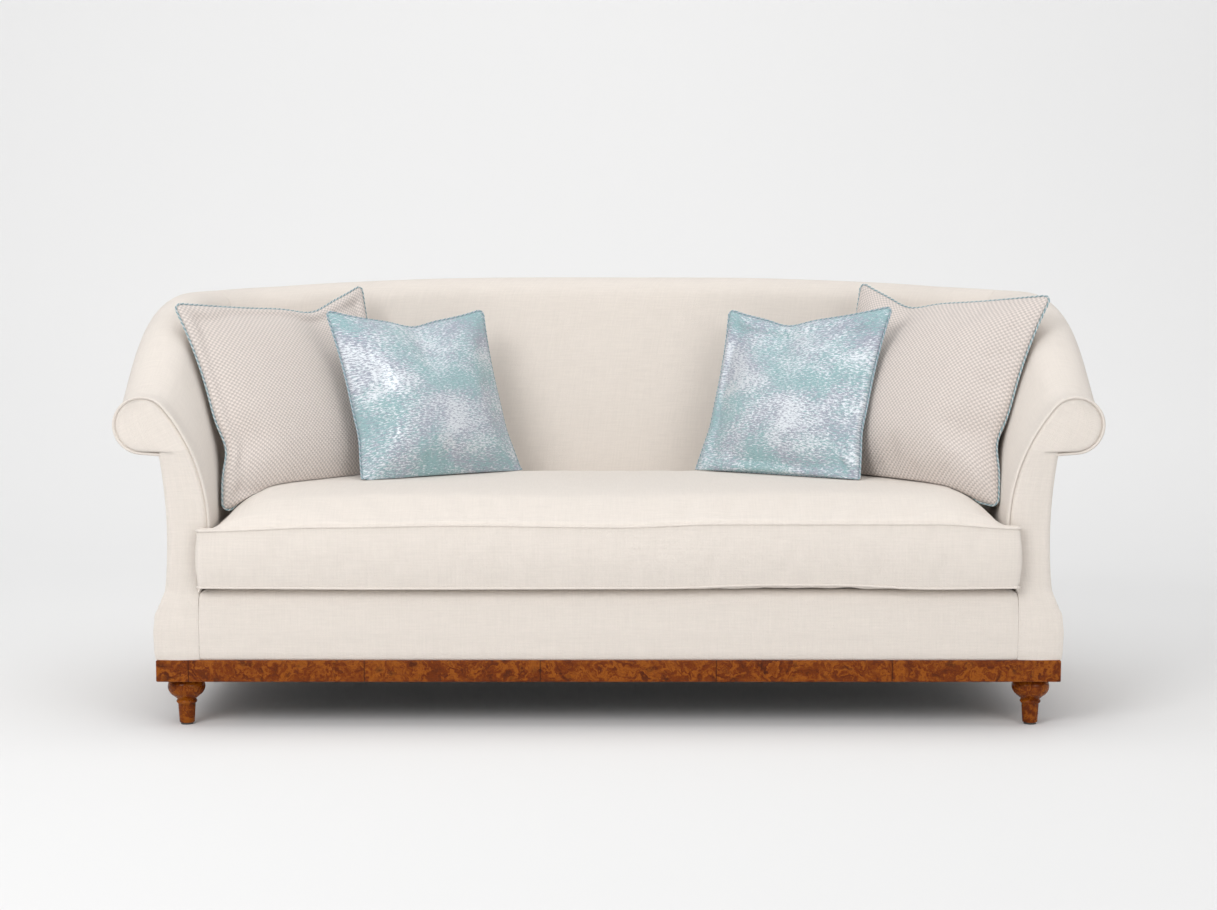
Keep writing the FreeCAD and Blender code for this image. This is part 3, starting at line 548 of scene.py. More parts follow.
def panel_x(share):
    """How far out the outside arm panel stands, from its foot to the scroll."""
    return mix(PANEL_X, SCROLL_X - LIP_IN, share) - 4 * ARM_WAIST * share * (1 - share)


def front_span(z, edge):
    """Inner and outer edge of the right arm front; edge is the cover that shows round it."""
    cut = ARM_FRONT_CUT
    r = cut.r - edge
    dz = min(r, abs(z - cut.scroll.y))
    chord = math.sqrt(r * r - dz * dz)
    if z <= PAD_Z:
        inner = ARM_IN_X + 0.0004
    elif z < cut.scroll.y + r * math.sin(cut.angle):
        inset = edge * smooth((z - PAD_Z) / 0.012)
        inner = CORNER_X + cut.big.x - math.sqrt((cut.big_r - inset) ** 2 - (z - cut.big.y) ** 2)
    else:
        inner = CORNER_X + cut.scroll.x - chord
    if z >= cut.scroll.y - r:
        outer = CORNER_X + cut.scroll.x + chord
    elif z > HIP_TOP:
        outer = panel_x((z - RAIL_TOP) / (cut.lip.y - RAIL_TOP)) - 0.0012
    else:
        outer = eased(HIP, z)
    return inner, outer


def arm_front_loops(edge):
    """Padded arm front: level loops from the plinth to the top of the scroll."""
    loops = []
    top = ARM_TOP - edge
    lip_z = ARM_SCROLL_Z - ARM_SCROLL_R
    levels = [mix(RAIL_Z, lip_z - 0.004, i / FRONT_LEVELS) for i in range(FRONT_LEVELS + 1)]
    levels.append(lip_z - 0.0015)
    levels += [mix(lip_z + edge, top, smooth(i / FRONT_ROLL)) for i in range(FRONT_ROLL + 1)]
    for z in levels:
        inner, outer = front_span(min(z, top - 2e-5), edge)
        swell = eased(BAND, z)
        loop = []
        for t in crowded(FRONT_COLS):
            x = mix(inner, outer, 0.5 + 0.5 * t)
            side = min(x - inner, outer - x)
            near = min(side, max(0.0, top - z) + 0.0005)
            low_rim = BAND_RIM_OUT if outer - x < x - inner else BAND_RIM_IN
            depth = mix(low_rim, FRONT_RIM_DEPTH, smooth((z - RAIL_TOP) / 0.03))
            full = FRONT_FULL * smooth(min(side, top - z) / FRONT_FULL_RUN)
            loop.append(Vector((x, FACE_Y - swell + pinch(near, depth, FRONT_RIM) - full, z)))
        loop.append(Vector((outer, mix(loop[-1].y, BOARD_Y, 0.5), z)))
        for i in range(1, FRONT_BACK_COLS):
            x = mix(outer, inner, i / FRONT_BACK_COLS)
            loop.append(Vector((x, BOARD_Y - STAND_OFF, z)))
        loops.append(loop)
    return loops


# Borders round the base

BORDER_LEVELS, BORDER_COLS, SIDE_COLS = 24, 80, 40
BORDER_EVEN = 0.6
BORDER_TOP = DECK_TOP - 0.003
BORDER_BACK = BOARD_Y + 0.02
SIDE_TOP = RAIL_TOP - 0.001
SIDE_BACK = 0.0002
SIDE_LEAST = 0.0006
# Height and how far the side and back borders stand out
SIDE_BAND = ((RAIL_Z, 0.020), (RAIL_Z + 0.02, 0.0222), (RAIL_Z + 0.07, 0.023),
             (RAIL_TOP - 0.03, 0.018), (RAIL_TOP - 0.008, 0.009), (SIDE_TOP, 0.001))


def border_profile():
    """Section of the front border: (forward, height) from the plinth up and over the top."""
    levels = [mix(RAIL_Z, RAIL_TOP - 0.004, i / BORDER_LEVELS) for i in range(BORDER_LEVELS + 1)]
    line = [(eased(BAND[:5], z), z) for z in levels]
    forward, z = line[-1]
    bend, end = (forward - 0.0085, mix(z, BORDER_TOP, 0.8)), (forward - 0.024, BORDER_TOP)
    return line + arc_points(line[-1], bend, end, 8)[1:]


def front_border_loops():
    """Border across the front, drawn in and a little lower at its ends."""
    profile = border_profile()
    reach = ARM_IN_X + 0.0002
    loops = []
    for t in crowded(BORDER_COLS, BORDER_EVEN):
        x = reach * t
        end = reach - abs(x)
        inward = pinch(end, 0.0014, 0.005)
        droop = 0.0016 * noise.noise(Vector((x * 2.1, 3.0, 0.0)))
        fall = droop - pinch(end, 0.008, 0.022, 1.4)
        loop = []
        for forward, z in profile:
            top = smooth((z - RAIL_TOP + 0.045) / 0.05)
            loop.append(Vector((x, FACE_Y - forward + inward + 0.6 * droop, z + fall * top)))
        over, rail = max(RAIL_TOP + 0.001, BORDER_TOP + fall), RAIL_TOP + STAND_OFF
        board = BOARD_Y - STAND_OFF
        for y, z in ((BORDER_BACK, over), (BORDER_BACK, rail), (board, rail), (board, RAIL_Z)):
            loop.append(Vector((x, y, z)))
        loops.append(loop)
    return loops


def border_loops(outward, start, end, inside):
    """Border along a side or the back; outward turns (depth, along, height) into a place."""
    loops = []
    for i in range(SIDE_COLS + 1):
        along = mix(start, end, i / SIDE_COLS)
        inward = pinch(min(along - start, end - along), 0.0015, 0.005)
        loop = []
        for k in range(BORDER_LEVELS + 1):
            z = mix(RAIL_Z, SIDE_TOP, k / BORDER_LEVELS)
            depth = max(SIDE_LEAST, eased(SIDE_BAND, z) - inward)
            loop.append(outward(inside + depth, along, z))
        loop += [outward(inside + SIDE_BACK, along, z) for z in (SIDE_TOP, RAIL_Z)]
        loops.append(loop)
    return loops


# Outside panels

PANEL_TUCK = 0.018
PANEL_ROWS, BACK_PANEL_COLS, PANEL_LEVELS = 48, 60, 26
PANEL_SHARES = [k / PANEL_LEVELS for k in range(PANEL_LEVELS + 1)]
PANEL_BACK_STEP = 5
BACK_PANEL_EVEN = 0.6


def panel_puff(share):
    return 0.003 * smooth(min(share, 1 - share) / 0.08) - 0.0025


def panel_pinch(near):
    return pinch(near, 0.0015, 0.006)


def arm_panel_loops():
    """Outside panel of the right arm, from the arm front to the back."""
    loops = []
    first, last = BOARD_Y - LAP, RAIL_BACK_Y + LAP
    for i in range(PANEL_ROWS + 1):
        y = mix(first, last, i / PANEL_ROWS)
        top = arm_scroll_z(max(0.0, y - BOARD_Y)) - ARM_SCROLL_R - LIP_DROP + PANEL_TUCK
        inward = panel_pinch(min(y - first, last - y))
        line = [Vector((panel_x(share) + panel_puff(share) - inward, y, mix(RAIL_TOP, top, share)))
                for share in PANEL_SHARES]
        inner = Vector((PANEL_T - 0.003, 0, 0))
        loops.append(line + [p - inner for p in reversed(line[::PANEL_BACK_STEP])])
    return loops


def back_panel_loops():
    """Outside panel of the back; its edges follow the waist of the arm panels."""
    loops = []
    for across in crowded(BACK_PANEL_COLS, BACK_PANEL_EVEN):
        reach = PANEL_X * abs(across)
        top = back_scroll_z(reach) - BACK_SCROLL_R - LIP_DROP + PANEL_TUCK
        inward = panel_pinch(PANEL_X - reach)
        line = []
        for share in PANEL_SHARES:
            y = RAIL_BACK_Y + PANEL_T + panel_puff(share) - inward
            line.append(Vector(((panel_x(share) - 0.0005) * across, y, mix(RAIL_TOP, top, share))))
        inner = reversed(line[::PANEL_BACK_STEP])
        loops.append(line + [Vector((p.x, RAIL_BACK_Y + STAND_OFF, p.z)) for p in inner])
    return loops


# Seat cushion: an ear at each front corner reaches in front of the arms

SEAT_HALF = 0.872
SEAT_EAR, SEAT_EAR_R = 0.911, 0.010
SEAT_REAR_R = 0.045
SEAT_FRONT = FRONT + 0.0063
SEAT_EAR_BACK = FACE_Y - 0.007
SEAT_REAR = CORNER_Y + BACK_CORNER_R - 0.012
SEAT_LOW = DECK_TOP + 0.0004
SEAT_HIGH = SEAT_LOW + 0.142
SEAT_CROWN = 0.052
CROWN_RUN, CROWN_SIDE, CROWN_REAR = 0.210, 0.150, 0.35
EAR_ROWS = (0.0, 0.08, 0.22, 0.42, 0.6, 0.78, 0.92, 0.9999)
SEAT_ROWS, SEAT_REAR_ROWS, SEAT_COLS, SEAT_SIDE_ROWS = 46, 6, 116, 9
SEAT_EAR_GAP = 0.0008
SEAT_SIDE_BULGE = 0.004
# Place across the front and how far the seam wanders up there
TOP_SEAM = ((-0.91, -0.010), (-0.62, -0.001), (-0.33, 0.003), (0.02, -0.001), (0.25, 0.006),
            (0.72, 0.006), (0.91, -0.004))
LOW_SEAM = ((-0.91, 0.003), (-0.5, 0.001), (0.1, 0.002), (0.36, 0.009), (0.5, 0.009),
            (0.72, 0.001), (0.91, 0.003))
TOP_SEAM_RUN, LOW_SEAM_RUN = 0.3, 0.12


def quarter(distance, run):
    """Height of a quarter circle at a distance from its foot."""
    k = max(0.0, min(1.0, distance / run))
    return math.sqrt(1 - (1 - k) ** 2)


def seat_half_width(y):
    if y < SEAT_EAR_BACK:
        ahead = SEAT_EAR_R - min(SEAT_EAR_R, y - SEAT_FRONT, SEAT_EAR_BACK - y)
        return SEAT_EAR - SEAT_EAR_R + math.sqrt(max(0.0, SEAT_EAR_R ** 2 - ahead ** 2))
    behind = max(0.0, SEAT_REAR_R - (SEAT_REAR - y))
    return SEAT_HALF - SEAT_REAR_R + math.sqrt(max(0.0, SEAT_REAR_R ** 2 - behind ** 2))


def seat_top(x, y):
    rise = (quarter(SEAT_HALF - abs(x), CROWN_SIDE) * quarter(y - SEAT_FRONT, CROWN_RUN)
            * quarter(SEAT_REAR - y, CROWN_RUN * CROWN_REAR))
    wander = eased(TOP_SEAM, x) * (1 - smooth((y - SEAT_FRONT) / TOP_SEAM_RUN))
    return SEAT_HIGH + SEAT_CROWN * rise + wander


def seat_underside(x, y):
    return SEAT_LOW + eased(LOW_SEAM, x) * (1 - smooth((y - SEAT_FRONT) / LOW_SEAM_RUN))


def seat_cover():
    """Boxed cushion cover; returns the piece and the corner numbers of its two seams."""
    straight = SEAT_REAR - SEAT_REAR_R - SEAT_EAR_BACK
    ys = [SEAT_FRONT + (SEAT_EAR_BACK - SEAT_FRONT) * k for k in EAR_ROWS]
    ys += [SEAT_EAR_BACK + SEAT_EAR_GAP + straight * k / SEAT_ROWS for k in range(SEAT_ROWS)]
    for k in range(SEAT_REAR_ROWS + 1):
        ys.append(SEAT_REAR - SEAT_REAR_R * (1 - math.sin(math.pi / 2 * k / SEAT_REAR_ROWS)))
    bm = bmesh.new()
    cloth = bm.loops.layers.uv.new("cloth")
    rims = []
    for height in (seat_top, seat_underside):
        sheet = []
        for y in ys:
            width = seat_half_width(y)
            xs = [width * (2 * j / SEAT_COLS - 1) for j in range(SEAT_COLS + 1)]
            sheet.append([bm.verts.new((x, y, height(x, y))) for x in xs])
        for cell in cells(len(ys) - 1, SEAT_COLS):
            face = bm.faces.new([sheet[i][j] for i, j in cell])
            for corner in face.loops:
                corner[cloth].uv = corner.vert.co.xy
        rims.append(rim(sheet))
    top, low = rims
    rings = [top]
    count = len(top)
    middle = Vector((0.0, (SEAT_FRONT + SEAT_REAR) / 2, 0.0))
    for k in range(1, SEAT_SIDE_ROWS):
        share = k / SEAT_SIDE_ROWS
        bulge = SEAT_SIDE_BULGE * math.sin(math.pi * share)
        ring = []
        for i in range(count):
            ahead = top[(i + 1) % count].co - top[i - 1].co
            out = Vector((ahead.y, -ahead.x, 0.0)).normalized()
            if out.dot(top[i].co - middle) < 0:
                out.negate()
            ring.append(bm.verts.new(top[i].co.lerp(low[i].co, share) + out * bulge))
        rings.append(ring)
    rings.append(low)
    start = 0.0
    for i in range(count):
        j = (i + 1) % count
        end = start + (top[j].co - top[i].co).length
        for upper, lower in zip(rings, rings[1:]):
            face = bm.faces.new((upper[i], upper[j], lower[j], lower[i]))
            for corner, along in zip(face.loops, (start, end, end, start)):
                corner[cloth].uv = (along, corner.vert.co.z)
        start = end
    for face in bm.faces:
        face.smooth = True
    bm.verts.index_update()
    seams = [[v.index for v in ring] for ring in (top, low)]
    return new_piece("seat_cushion", bm), seams


# Scatter cushions

class Cushion:
    """Place and turn of a cushion, how far its corners are pulled, and how far its sides sag."""
    def __init__(self, name, half, thick, turns, corners, sags, top_low):
        self.name, self.half, self.thick = name, half, thick
        self.corners, self.sags, self.top_low = corners, sags, top_low
        low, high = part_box(name + "_cover")
        self.centre = (low + high) / 2
        turn, lean, roll = (math.radians(angle) for angle in turns)
        self.turn = (Matrix.Rotation(turn, 3, "Z") @ Matrix.Rotation(math.pi / 2 - lean, 3, "X")
                     @ Matrix.Rotation(roll, 3, "Z"))


CUSHIONS = (
    Cushion("left_large_cushion", 0.257, 0.082, (48, 24, 0),
            {"tl": (-0.046, -0.037), "tr": (0.039, 0.001),
             "bl": (-0.076, -0.034), "br": (-0.02, -0.01)},
            {"top": 0.042, "left": 0.036, "right": 0.0, "low": -0.004}, 0.36),
    Cushion("right_large_cushion", 0.257, 0.082, (-49, 24, 0),
            {"tl": (-0.033, 0.008), "tr": (0.06, -0.016),
             "bl": (0.03, 0.0), "br": (0.085, -0.022)},
            {"top": 0.042, "left": 0.0, "right": 0.034, "low": -0.004}, -0.38),
    Cushion("left_small_cushion", 0.222, 0.066, (32, 21, 2),
            {"tl": (0.010, 0.001), "tr": (-0.006, -0.019),
             "bl": (0.010, -0.006), "br": (0.004, -0.015)},
            {"top": 0.030, "left": 0.008, "right": 0.006, "low": -0.004}, 0.04),
    Cushion("right_small_cushion", 0.222, 0.066, (-32, 21, -2),
            {"tl": (-0.010, -0.020), "tr": (-0.012, 0.011),
             "bl": (-0.006, -0.008), "br": (-0.003, 0.010)},
            {"top": 0.032, "left": 0.006, "right": 0.008, "low": -0.004}, -0.2),
)
CUSHION_GRID, CUSHION_EVEN = 46, 0.65
CUSHION_DRAW = 0.055
CUSHION_POWER, CUSHION_FULL = 2.4, 0.6
CUSHION_TIP = 0.085
CUSHION_SETTLE = 0.12
CHOP_WIDTH, CHOP_DEPTH = 0.22, 0.34
FOLD_AT, FOLD_WIDTH, FOLD_DEPTH = -0.42, 0.16, 6.0
NIP_WIDTH = 0.2


def bell(x, middle, width):
    return math.exp(-((x - middle) / width) ** 2)


def rounded_tip(a, b):
    """Turns the square's sharp corners into round tips."""
    u, v = ((abs(t) - 1 + CUSHION_TIP) / CUSHION_TIP for t in (a, b))
    if u <= 0 or v <= 0:
        return a, b
    u, v = u * math.sqrt(1 - v * v / 2), v * math.sqrt(1 - u * u / 2)
    return (math.copysign(1 - CUSHION_TIP + CUSHION_TIP * t, sign) for t, sign in ((u, a), (v, b)))


def cushion_point(cushion, a, b, side):
    """One point of a cover, from its centre: a to the right, b up, both from -1 to 1."""
    half, sags, low = cushion.half, cushion.sags, cushion.top_low
    full = (1 - abs(a) ** CUSHION_POWER) * (1 - abs(b) ** CUSHION_POWER)
    full = max(0.0, full) ** CUSHION_FULL
    a, b = rounded_tip(a, b)
    x = half * a * (1 - CUSHION_DRAW * (1 - b * b))
    y = half * b * (1 - CUSHION_DRAW * (1 - a * a))
    s, t = (a + 1) / 2, (b + 1) / 2
    for key, weight in (("tl", (1 - s) * t), ("tr", s * t),
                        ("bl", (1 - s) * (1 - t)), ("br", s * (1 - t))):
        x += cushion.corners[key][0] * weight
        y += cushion.corners[key][1] * weight
    skewed = max(-1.0, min(1.0, a - low * (1 - a * a)))
    chop = bell(a, low, CHOP_WIDTH)
    y -= sags["top"] * (0.72 * (1 - skewed ** 2) + 0.42 * chop) * t ** 2
    y += sags["low"] * (1 - a * a) * (1 - t) ** 2
    nip = 0.7 * (1 - b * b) + 0.55 * bell(b, FOLD_AT, NIP_WIDTH)
    x += sags["left"] * nip * (1 - s) ** 2
    x -= sags["right"] * nip * s ** 2
    full *= 1 - CHOP_DEPTH * chop * smooth((t - 0.62) / 0.38)
    for key, edge in (("left", -1), ("right", 1)):
        fold = bell(b, FOLD_AT, FOLD_WIDTH) * smooth((edge * a - 0.45) / 0.55)
        full *= 1 - FOLD_DEPTH * sags[key] * fold
    full *= 1 - CUSHION_SETTLE * b
    return cushion.turn @ Vector((x, y, side * cushion.thick * full))


def cushion_cover(cushion, sink):
    """Two sheets sewn together; returns the piece and the corner numbers of its seam."""
    n = CUSHION_GRID
    marks = crowded(n, CUSHION_EVEN)
    centre = cushion.centre - Vector((0.0, 0.0, sink))
    bm = bmesh.new()
    cloth = bm.loops.layers.uv.new("cloth")
    sheets = []
    for side in (1, -1):
        sheet = []
        for i, b in enumerate(marks):
            row = []
            for j, a in enumerate(marks):
                if sheets and (i in (0, n) or j in (0, n)):
                    row.append(sheets[0][i][j])
                else:
                    row.append(bm.verts.new(centre + cushion_point(cushion, a, b, side)))
            sheet.append(row)
        sheets.append(sheet)
        for cell in cells(n, n):
            cell = cell[::side]
            face = bm.faces.new([sheet[i][j] for i, j in cell])
            face.smooth = True
            for corner, (i, j) in zip(face.loops, cell):
                corner[cloth].uv = (cushion.half * marks[j] + (side < 0), cushion.half * marks[i])
    bm.verts.index_update()
    seam = [v.index for v in rim(sheets[0])]
    return new_piece(cushion.name, bm), seam


def shape_tree(piece):
    graph = bpy.context.evaluated_depsgraph_get()
    mesh = piece.evaluated_get(graph).to_mesh()
    return BVHTree.FromPolygons([v.co.copy() for v in mesh.vertices],
                                [tuple(p.vertices) for p in mesh.polygons])


PROBE = Vector((0.31, -0.52, 0.80)).normalized()
PROBE_STEP = 1e-5
MOST_CROSSINGS = 40
PRESS_REACH = 0.12
PRESS_ROUNDS = 2


def within(tree, point):
    """Whether a point lies inside a closed shape."""
    crossings = 0
    start = point.copy()
    while crossings < MOST_CROSSINGS:
        hit = tree.ray_cast(start, PROBE)[0]
        if hit is None:
            break
        crossings += 1
        start = hit + PROBE * PROBE_STEP
    return crossings % 2 == 1


def press_clear(piece, seam, trees, cloth_gap, seam_gap):
    """Presses a soft cover flat where it lies on what carries it."""
    edge = set(seam)
    for vert in piece.data.vertices:
        gap = seam_gap if vert.index in edge else cloth_gap
        for tree in trees * PRESS_ROUNDS:
            near, _normal, _face, distance = tree.find_nearest(vert.co, PRESS_REACH)
            if near is None or distance < 1e-9:
                continue
            out = (vert.co - near) / distance
            if within(tree, vert.co):
                vert.co = near - out * gap
            elif distance < gap:
                vert.co = near + out * gap
    piece.data.update()


# Finishes

class Nodes:
    """Short way to place and join the nodes of a tree."""
    def __init__(self, tree):
        self.tree = tree

    def add(self, kind, values=None, **settings):
        made = self.tree.nodes.new(kind)
        for key, value in settings.items():
            setattr(made, key, value)
        for key, value in (values or {}).items():
            if isinstance(value, bpy.types.NodeSocket):
                self.tree.links.new(value, made.inputs[key])
            else:
                made.inputs[key].default_value = value
        return made

    def math(self, operation, a, b=0.0, clamp=False):
        return self.add("ShaderNodeMath", {0: a, 1: b}, operation=operation,
                        use_clamp=clamp).outputs[0]

    def times(self, a, b):
        return self.math("MULTIPLY", a, b)

    def plus(self, a, b):
        return self.math("ADD", a, b)

    def vector(self, operation, a, b):
        second = "Scale" if operation == "SCALE" else 1
        return self.add("ShaderNodeVectorMath", {0: a, second: b}, operation=operation).outputs[0]

    def split(self, vector):
        return self.add("ShaderNodeSeparateXYZ", {"Vector": vector}).outputs

    def blend(self, factor, a, b):
        return self.add("ShaderNodeMix", {0: factor, 6: a, 7: b}, data_type="RGBA").outputs[2]

    def noise(self, vector, scale, detail=2.0, rough=0.5, distortion=0.0, out="Fac"):
        values = {"Vector": vector, "Scale": scale, "Detail": detail, "Roughness": rough,
                  "Distortion": distortion}
        return self.add("ShaderNodeTexNoise", values).outputs[out]

    def streaks(self, vector, scale, *values):
        """Noise drawn out along one way."""
        longer = self.add("ShaderNodeMapping", {"Vector": vector, "Scale": scale}).outputs[0]
        return self.noise(longer, 1.0, *values)

    def ramp(self, factor, *stops):
        made = self.add("ShaderNodeValToRGB", {"Fac": factor})
        points = made.color_ramp.elements
        while len(points) < len(stops):
            points.new(0.5)
        for point, (place, tone) in zip(points, stops):
            point.position = place
            point.color = tone
        return made.outputs["Color"]

    def mask(self, factor, low, high, most=1.0):
        return self.ramp(factor, (low, rgb((0.0, 0.0, 0.0))), (high, rgb((most, most, most))))

    def group(self, build, vector, **sizes):
        """Places a shader group, which is made the first time."""
        values = {key.replace("_", " "): value for key, value in sizes.items()}
        return self.add("ShaderNodeGroup", {"Vector": vector, **values},
                        node_tree=shader_group(build, values)).outputs

    def cloth_vector(self):
        return self.add("ShaderNodeUVMap", uv_map="cloth").outputs["UV"]

    def object_vector(self):
        return self.add("ShaderNodeTexCoord").outputs["Object"]


class Finish(Nodes):
    """New material; uniform values go on its Principled shader."""
    def __init__(self, name, rough, **sockets):
        self.material = bpy.data.materials.new(name)
        self.material.use_nodes = True
        super().__init__(self.material.node_tree)
        self.shader = self.tree.nodes["Principled BSDF"]
        for key, value in {"Roughness": rough, **sockets}.items():
            self.shader.inputs[key.replace("_", " ")].default_value = value

    def feed(self, **sockets):
        for key, socket in sockets.items():
            self.tree.links.new(socket, self.shader.inputs[key.replace("_", " ")])

    def bump(self, height, strength, distance):
        values = {"Height": height, "Strength": strength, "Distance": distance}
        self.feed(Normal=self.add("ShaderNodeBump", values).outputs["Normal"])


def shader_group(build, sizes):
    """Shader group on a vector with named sizes; build returns what it puts out, by name."""
    if build.__name__ in bpy.data.node_groups:
        return bpy.data.node_groups[build.__name__]
    tree = bpy.data.node_groups.new(build.__name__, "ShaderNodeTree")
    tree.interface.new_socket("Vector", in_out="INPUT", socket_type="NodeSocketVector")
    for label, start in sizes.items():
        socket = tree.interface.new_socket(label, in_out="INPUT", socket_type="NodeSocketFloat")
        socket.default_value = start
    n = Nodes(tree)
    made = build(n, n.add("NodeGroupInput").outputs)
    for label in made:
        tree.interface.new_socket(label, in_out="OUTPUT", socket_type="NodeSocketFloat")
    n.add("NodeGroupOutput", made)
    return tree


def plain_weave(n, given):
    """Over and under threads of uneven, slubbed yarn."""
    vector = given["Vector"]
    wander = n.noise(vector, 60.0, 1.0, out="Color")
    shift = n.vector("SCALE", n.vector("SUBTRACT", wander, (0.5, 0.5, 0.5)), 0.0012)
    split = n.split(n.vector("ADD", vector, shift))
    warp, weft = (n.math("SINE", n.times(n.times(axis, given[count]), math.pi))
                  for axis, count in ((split[0], "Warp Count"), (split[1], "Weft Count")))
    over = n.math("GREATER_THAN", n.times(warp, weft), 0.0)
    first = n.times(over, n.math("ABSOLUTE", warp))
    second = n.times(n.math("SUBTRACT", 1.0, over), n.math("ABSOLUTE", weft))
    slub = n.plus(*(n.times(n.math("SUBTRACT", n.streaks(vector, scale), 0.5), given["Slub"])
                    for scale in ((260.0, 16.0, 1.0), (16.0, 260.0, 1.0))))
    return {"Height": n.plus(n.plus(first, second), slub),
            "Tone": n.math("ADD", n.times(slub, 1.6), 0.5, clamp=True), "Over": over}


def cloth_nap(n, given):
    """Soft unevenness of brushed or curled cloth: fine curl and broad shading."""
    return {"Curl": n.noise(given["Vector"], given["Curl Scale"], 3.0, 0.62, 1.2),
            "Broad": n.noise(given["Vector"], 3.2, 3.0)}


def burr_figure(n, given):
    """Figure of burr walnut: swirled cloud, dark eyes and fine pores."""
    sized = n.vector("SCALE", given["Vector"], given["Scale"])
    swirl = n.noise(sized, 0.9, 4.0, 0.6, out="Color")
    bent = n.vector("ADD", sized, n.vector("SCALE", swirl, 2.6))
    spots = n.add("ShaderNodeTexVoronoi", {"Vector": bent, "Scale": 1.7, "Randomness": 1.0})
    eyes = n.math("SUBTRACT", 1.0, n.times(spots.outputs["Distance"], 2.6), clamp=True)
    some = n.math("GREATER_THAN", n.noise(sized, 1.1, 1.0), 0.46)
    return {"Cloud": n.noise(bent, 1.5, 5.0, 0.66, 1.4), "Eyes": n.times(eyes, some),
            "Pores": n.streaks(sized, (14.0, 14.0, 14.0), 2.0, 0.7)}


OATMEAL_SLUB = (0.86, 0.83, 0.79)
FOIL, FOIL_SHADOW = (0.74, 0.78, 0.82), (0.15, 0.20, 0.25)
VENEER_LEAF, VENEER_START = 0.3925, 0.152


def rgb(values, share=1.0):
    return (values[0] * share, values[1] * share, values[2] * share, 1.0)


def ivory_cloth(colours, on_object=False):
    """Slubbed main cloth; a cord has no cloth coordinates and reads the object's."""
    name = "ivory_slub_cord" if on_object else "ivory_slub"
    if name in bpy.data.materials:
        return bpy.data.materials[name]
    n = Finish(name, 0.9, Sheen_Weight=0.25, Sheen_Roughness=0.6, Specular_IOR_Level=0.25)
    vector = n.object_vector() if on_object else n.cloth_vector()
    weave = n.group(plain_weave, vector, Warp_Count=420.0, Weft_Count=380.0, Slub=0.48)
    nap = n.group(cloth_nap, n.object_vector(), Curl_Scale=230.0)
    base = n.blend(weave["Tone"], rgb(colours.ivory, 0.90), rgb(colours.ivory, 1.08))
    base = n.blend(n.times(nap["Curl"], 0.55), base, rgb(colours.ivory, 0.87))
    n.feed(Base_Color=n.blend(n.times(nap["Broad"], 0.12), base, rgb(colours.ivory, 0.92)))
    n.bump(n.plus(n.times(weave["Height"], 0.35), nap["Curl"]), 0.8, 0.0024)
    return n.material


def oatmeal_cloth(colours):
    n = Finish("oatmeal_hopsack", 0.85, Sheen_Weight=0.15, Specular_IOR_Level=0.3)
    vector = n.cloth_vector()
    weave = n.group(plain_weave, vector, Warp_Count=190.0, Weft_Count=190.0, Slub=0.35)
    nap = n.group(cloth_nap, vector, Curl_Scale=420.0)
    base = n.blend(weave["Over"], rgb(colours.oatmeal, 0.80), rgb(colours.oatmeal, 1.22))
    base = n.blend(n.times(weave["Tone"], 0.3), base, rgb(OATMEAL_SLUB))
    n.feed(Base_Color=n.blend(n.times(nap["Curl"], 0.3), base, rgb(colours.oatmeal, 0.8)))
    n.bump(weave["Height"], 0.6, 0.0018)
    return n.material


def aqua_cloth(colours):
    """Aqua cloth with lavender clouds, dark flecks and rubbed foil."""
    n = Finish("aqua_foiled", 0.55, Sheen_Weight=0.3, Sheen_Roughness=0.4, Specular_IOR_Level=0.5)
    vector = n.cloth_vector()
    blot = n.streaks(vector, (6.0, 8.0, 1.0), 4.0, 0.6, 0.4)
    fleck = n.streaks(vector, (100.0, 330.0, 1.0), 3.0, 0.72, 0.3)
    foil = n.mask(n.plus(n.times(blot, 0.42), n.times(fleck, 0.74)), 0.570, 0.635)
    shade = n.streaks(vector, (5.0, 6.0, 1.0), 3.0, 0.6)
    grain = n.streaks(vector, (60.0, 260.0, 1.0), 4.0, 0.75, 0.2)
    grey = n.mask(n.plus(n.times(shade, 0.55), n.times(grain, 0.5)), 0.49, 0.57)
    dark = n.mask(n.streaks(vector, (150.0, 380.0, 1.0), 2.0, 0.7, 0.2), 0.55, 0.64, 0.55)
    base = n.blend(grey, rgb(colours.aqua), rgb(colours.lavender))
    base = n.blend(dark, base, rgb(FOIL_SHADOW))
    n.feed(Base_Color=n.blend(foil, base, rgb(FOIL)), Metallic=n.times(foil, 0.55),
           Roughness=n.math("SUBTRACT", 0.62, n.times(foil, 0.27)))
    weave = n.group(plain_weave, vector, Warp_Count=700.0, Weft_Count=700.0, Slub=0.4)
    n.bump(n.plus(weave["Height"], n.times(fleck, 0.8)), 0.35, 0.001)
    return n.material


def yarn(name, tint, dark):
    """Spun yarn of a piping."""
    n = Finish(name, 0.7, Sheen_Weight=0.2, Specular_IOR_Level=0.35)
    strand = n.noise(n.object_vector(), 520.0, 2.0, 0.6, 0.8)
    n.feed(Base_Color=n.blend(n.mask(strand, 0.35, 0.62), rgb(dark), rgb(tint)))
    n.bump(strand, 0.5, 0.0006)
    return n.material


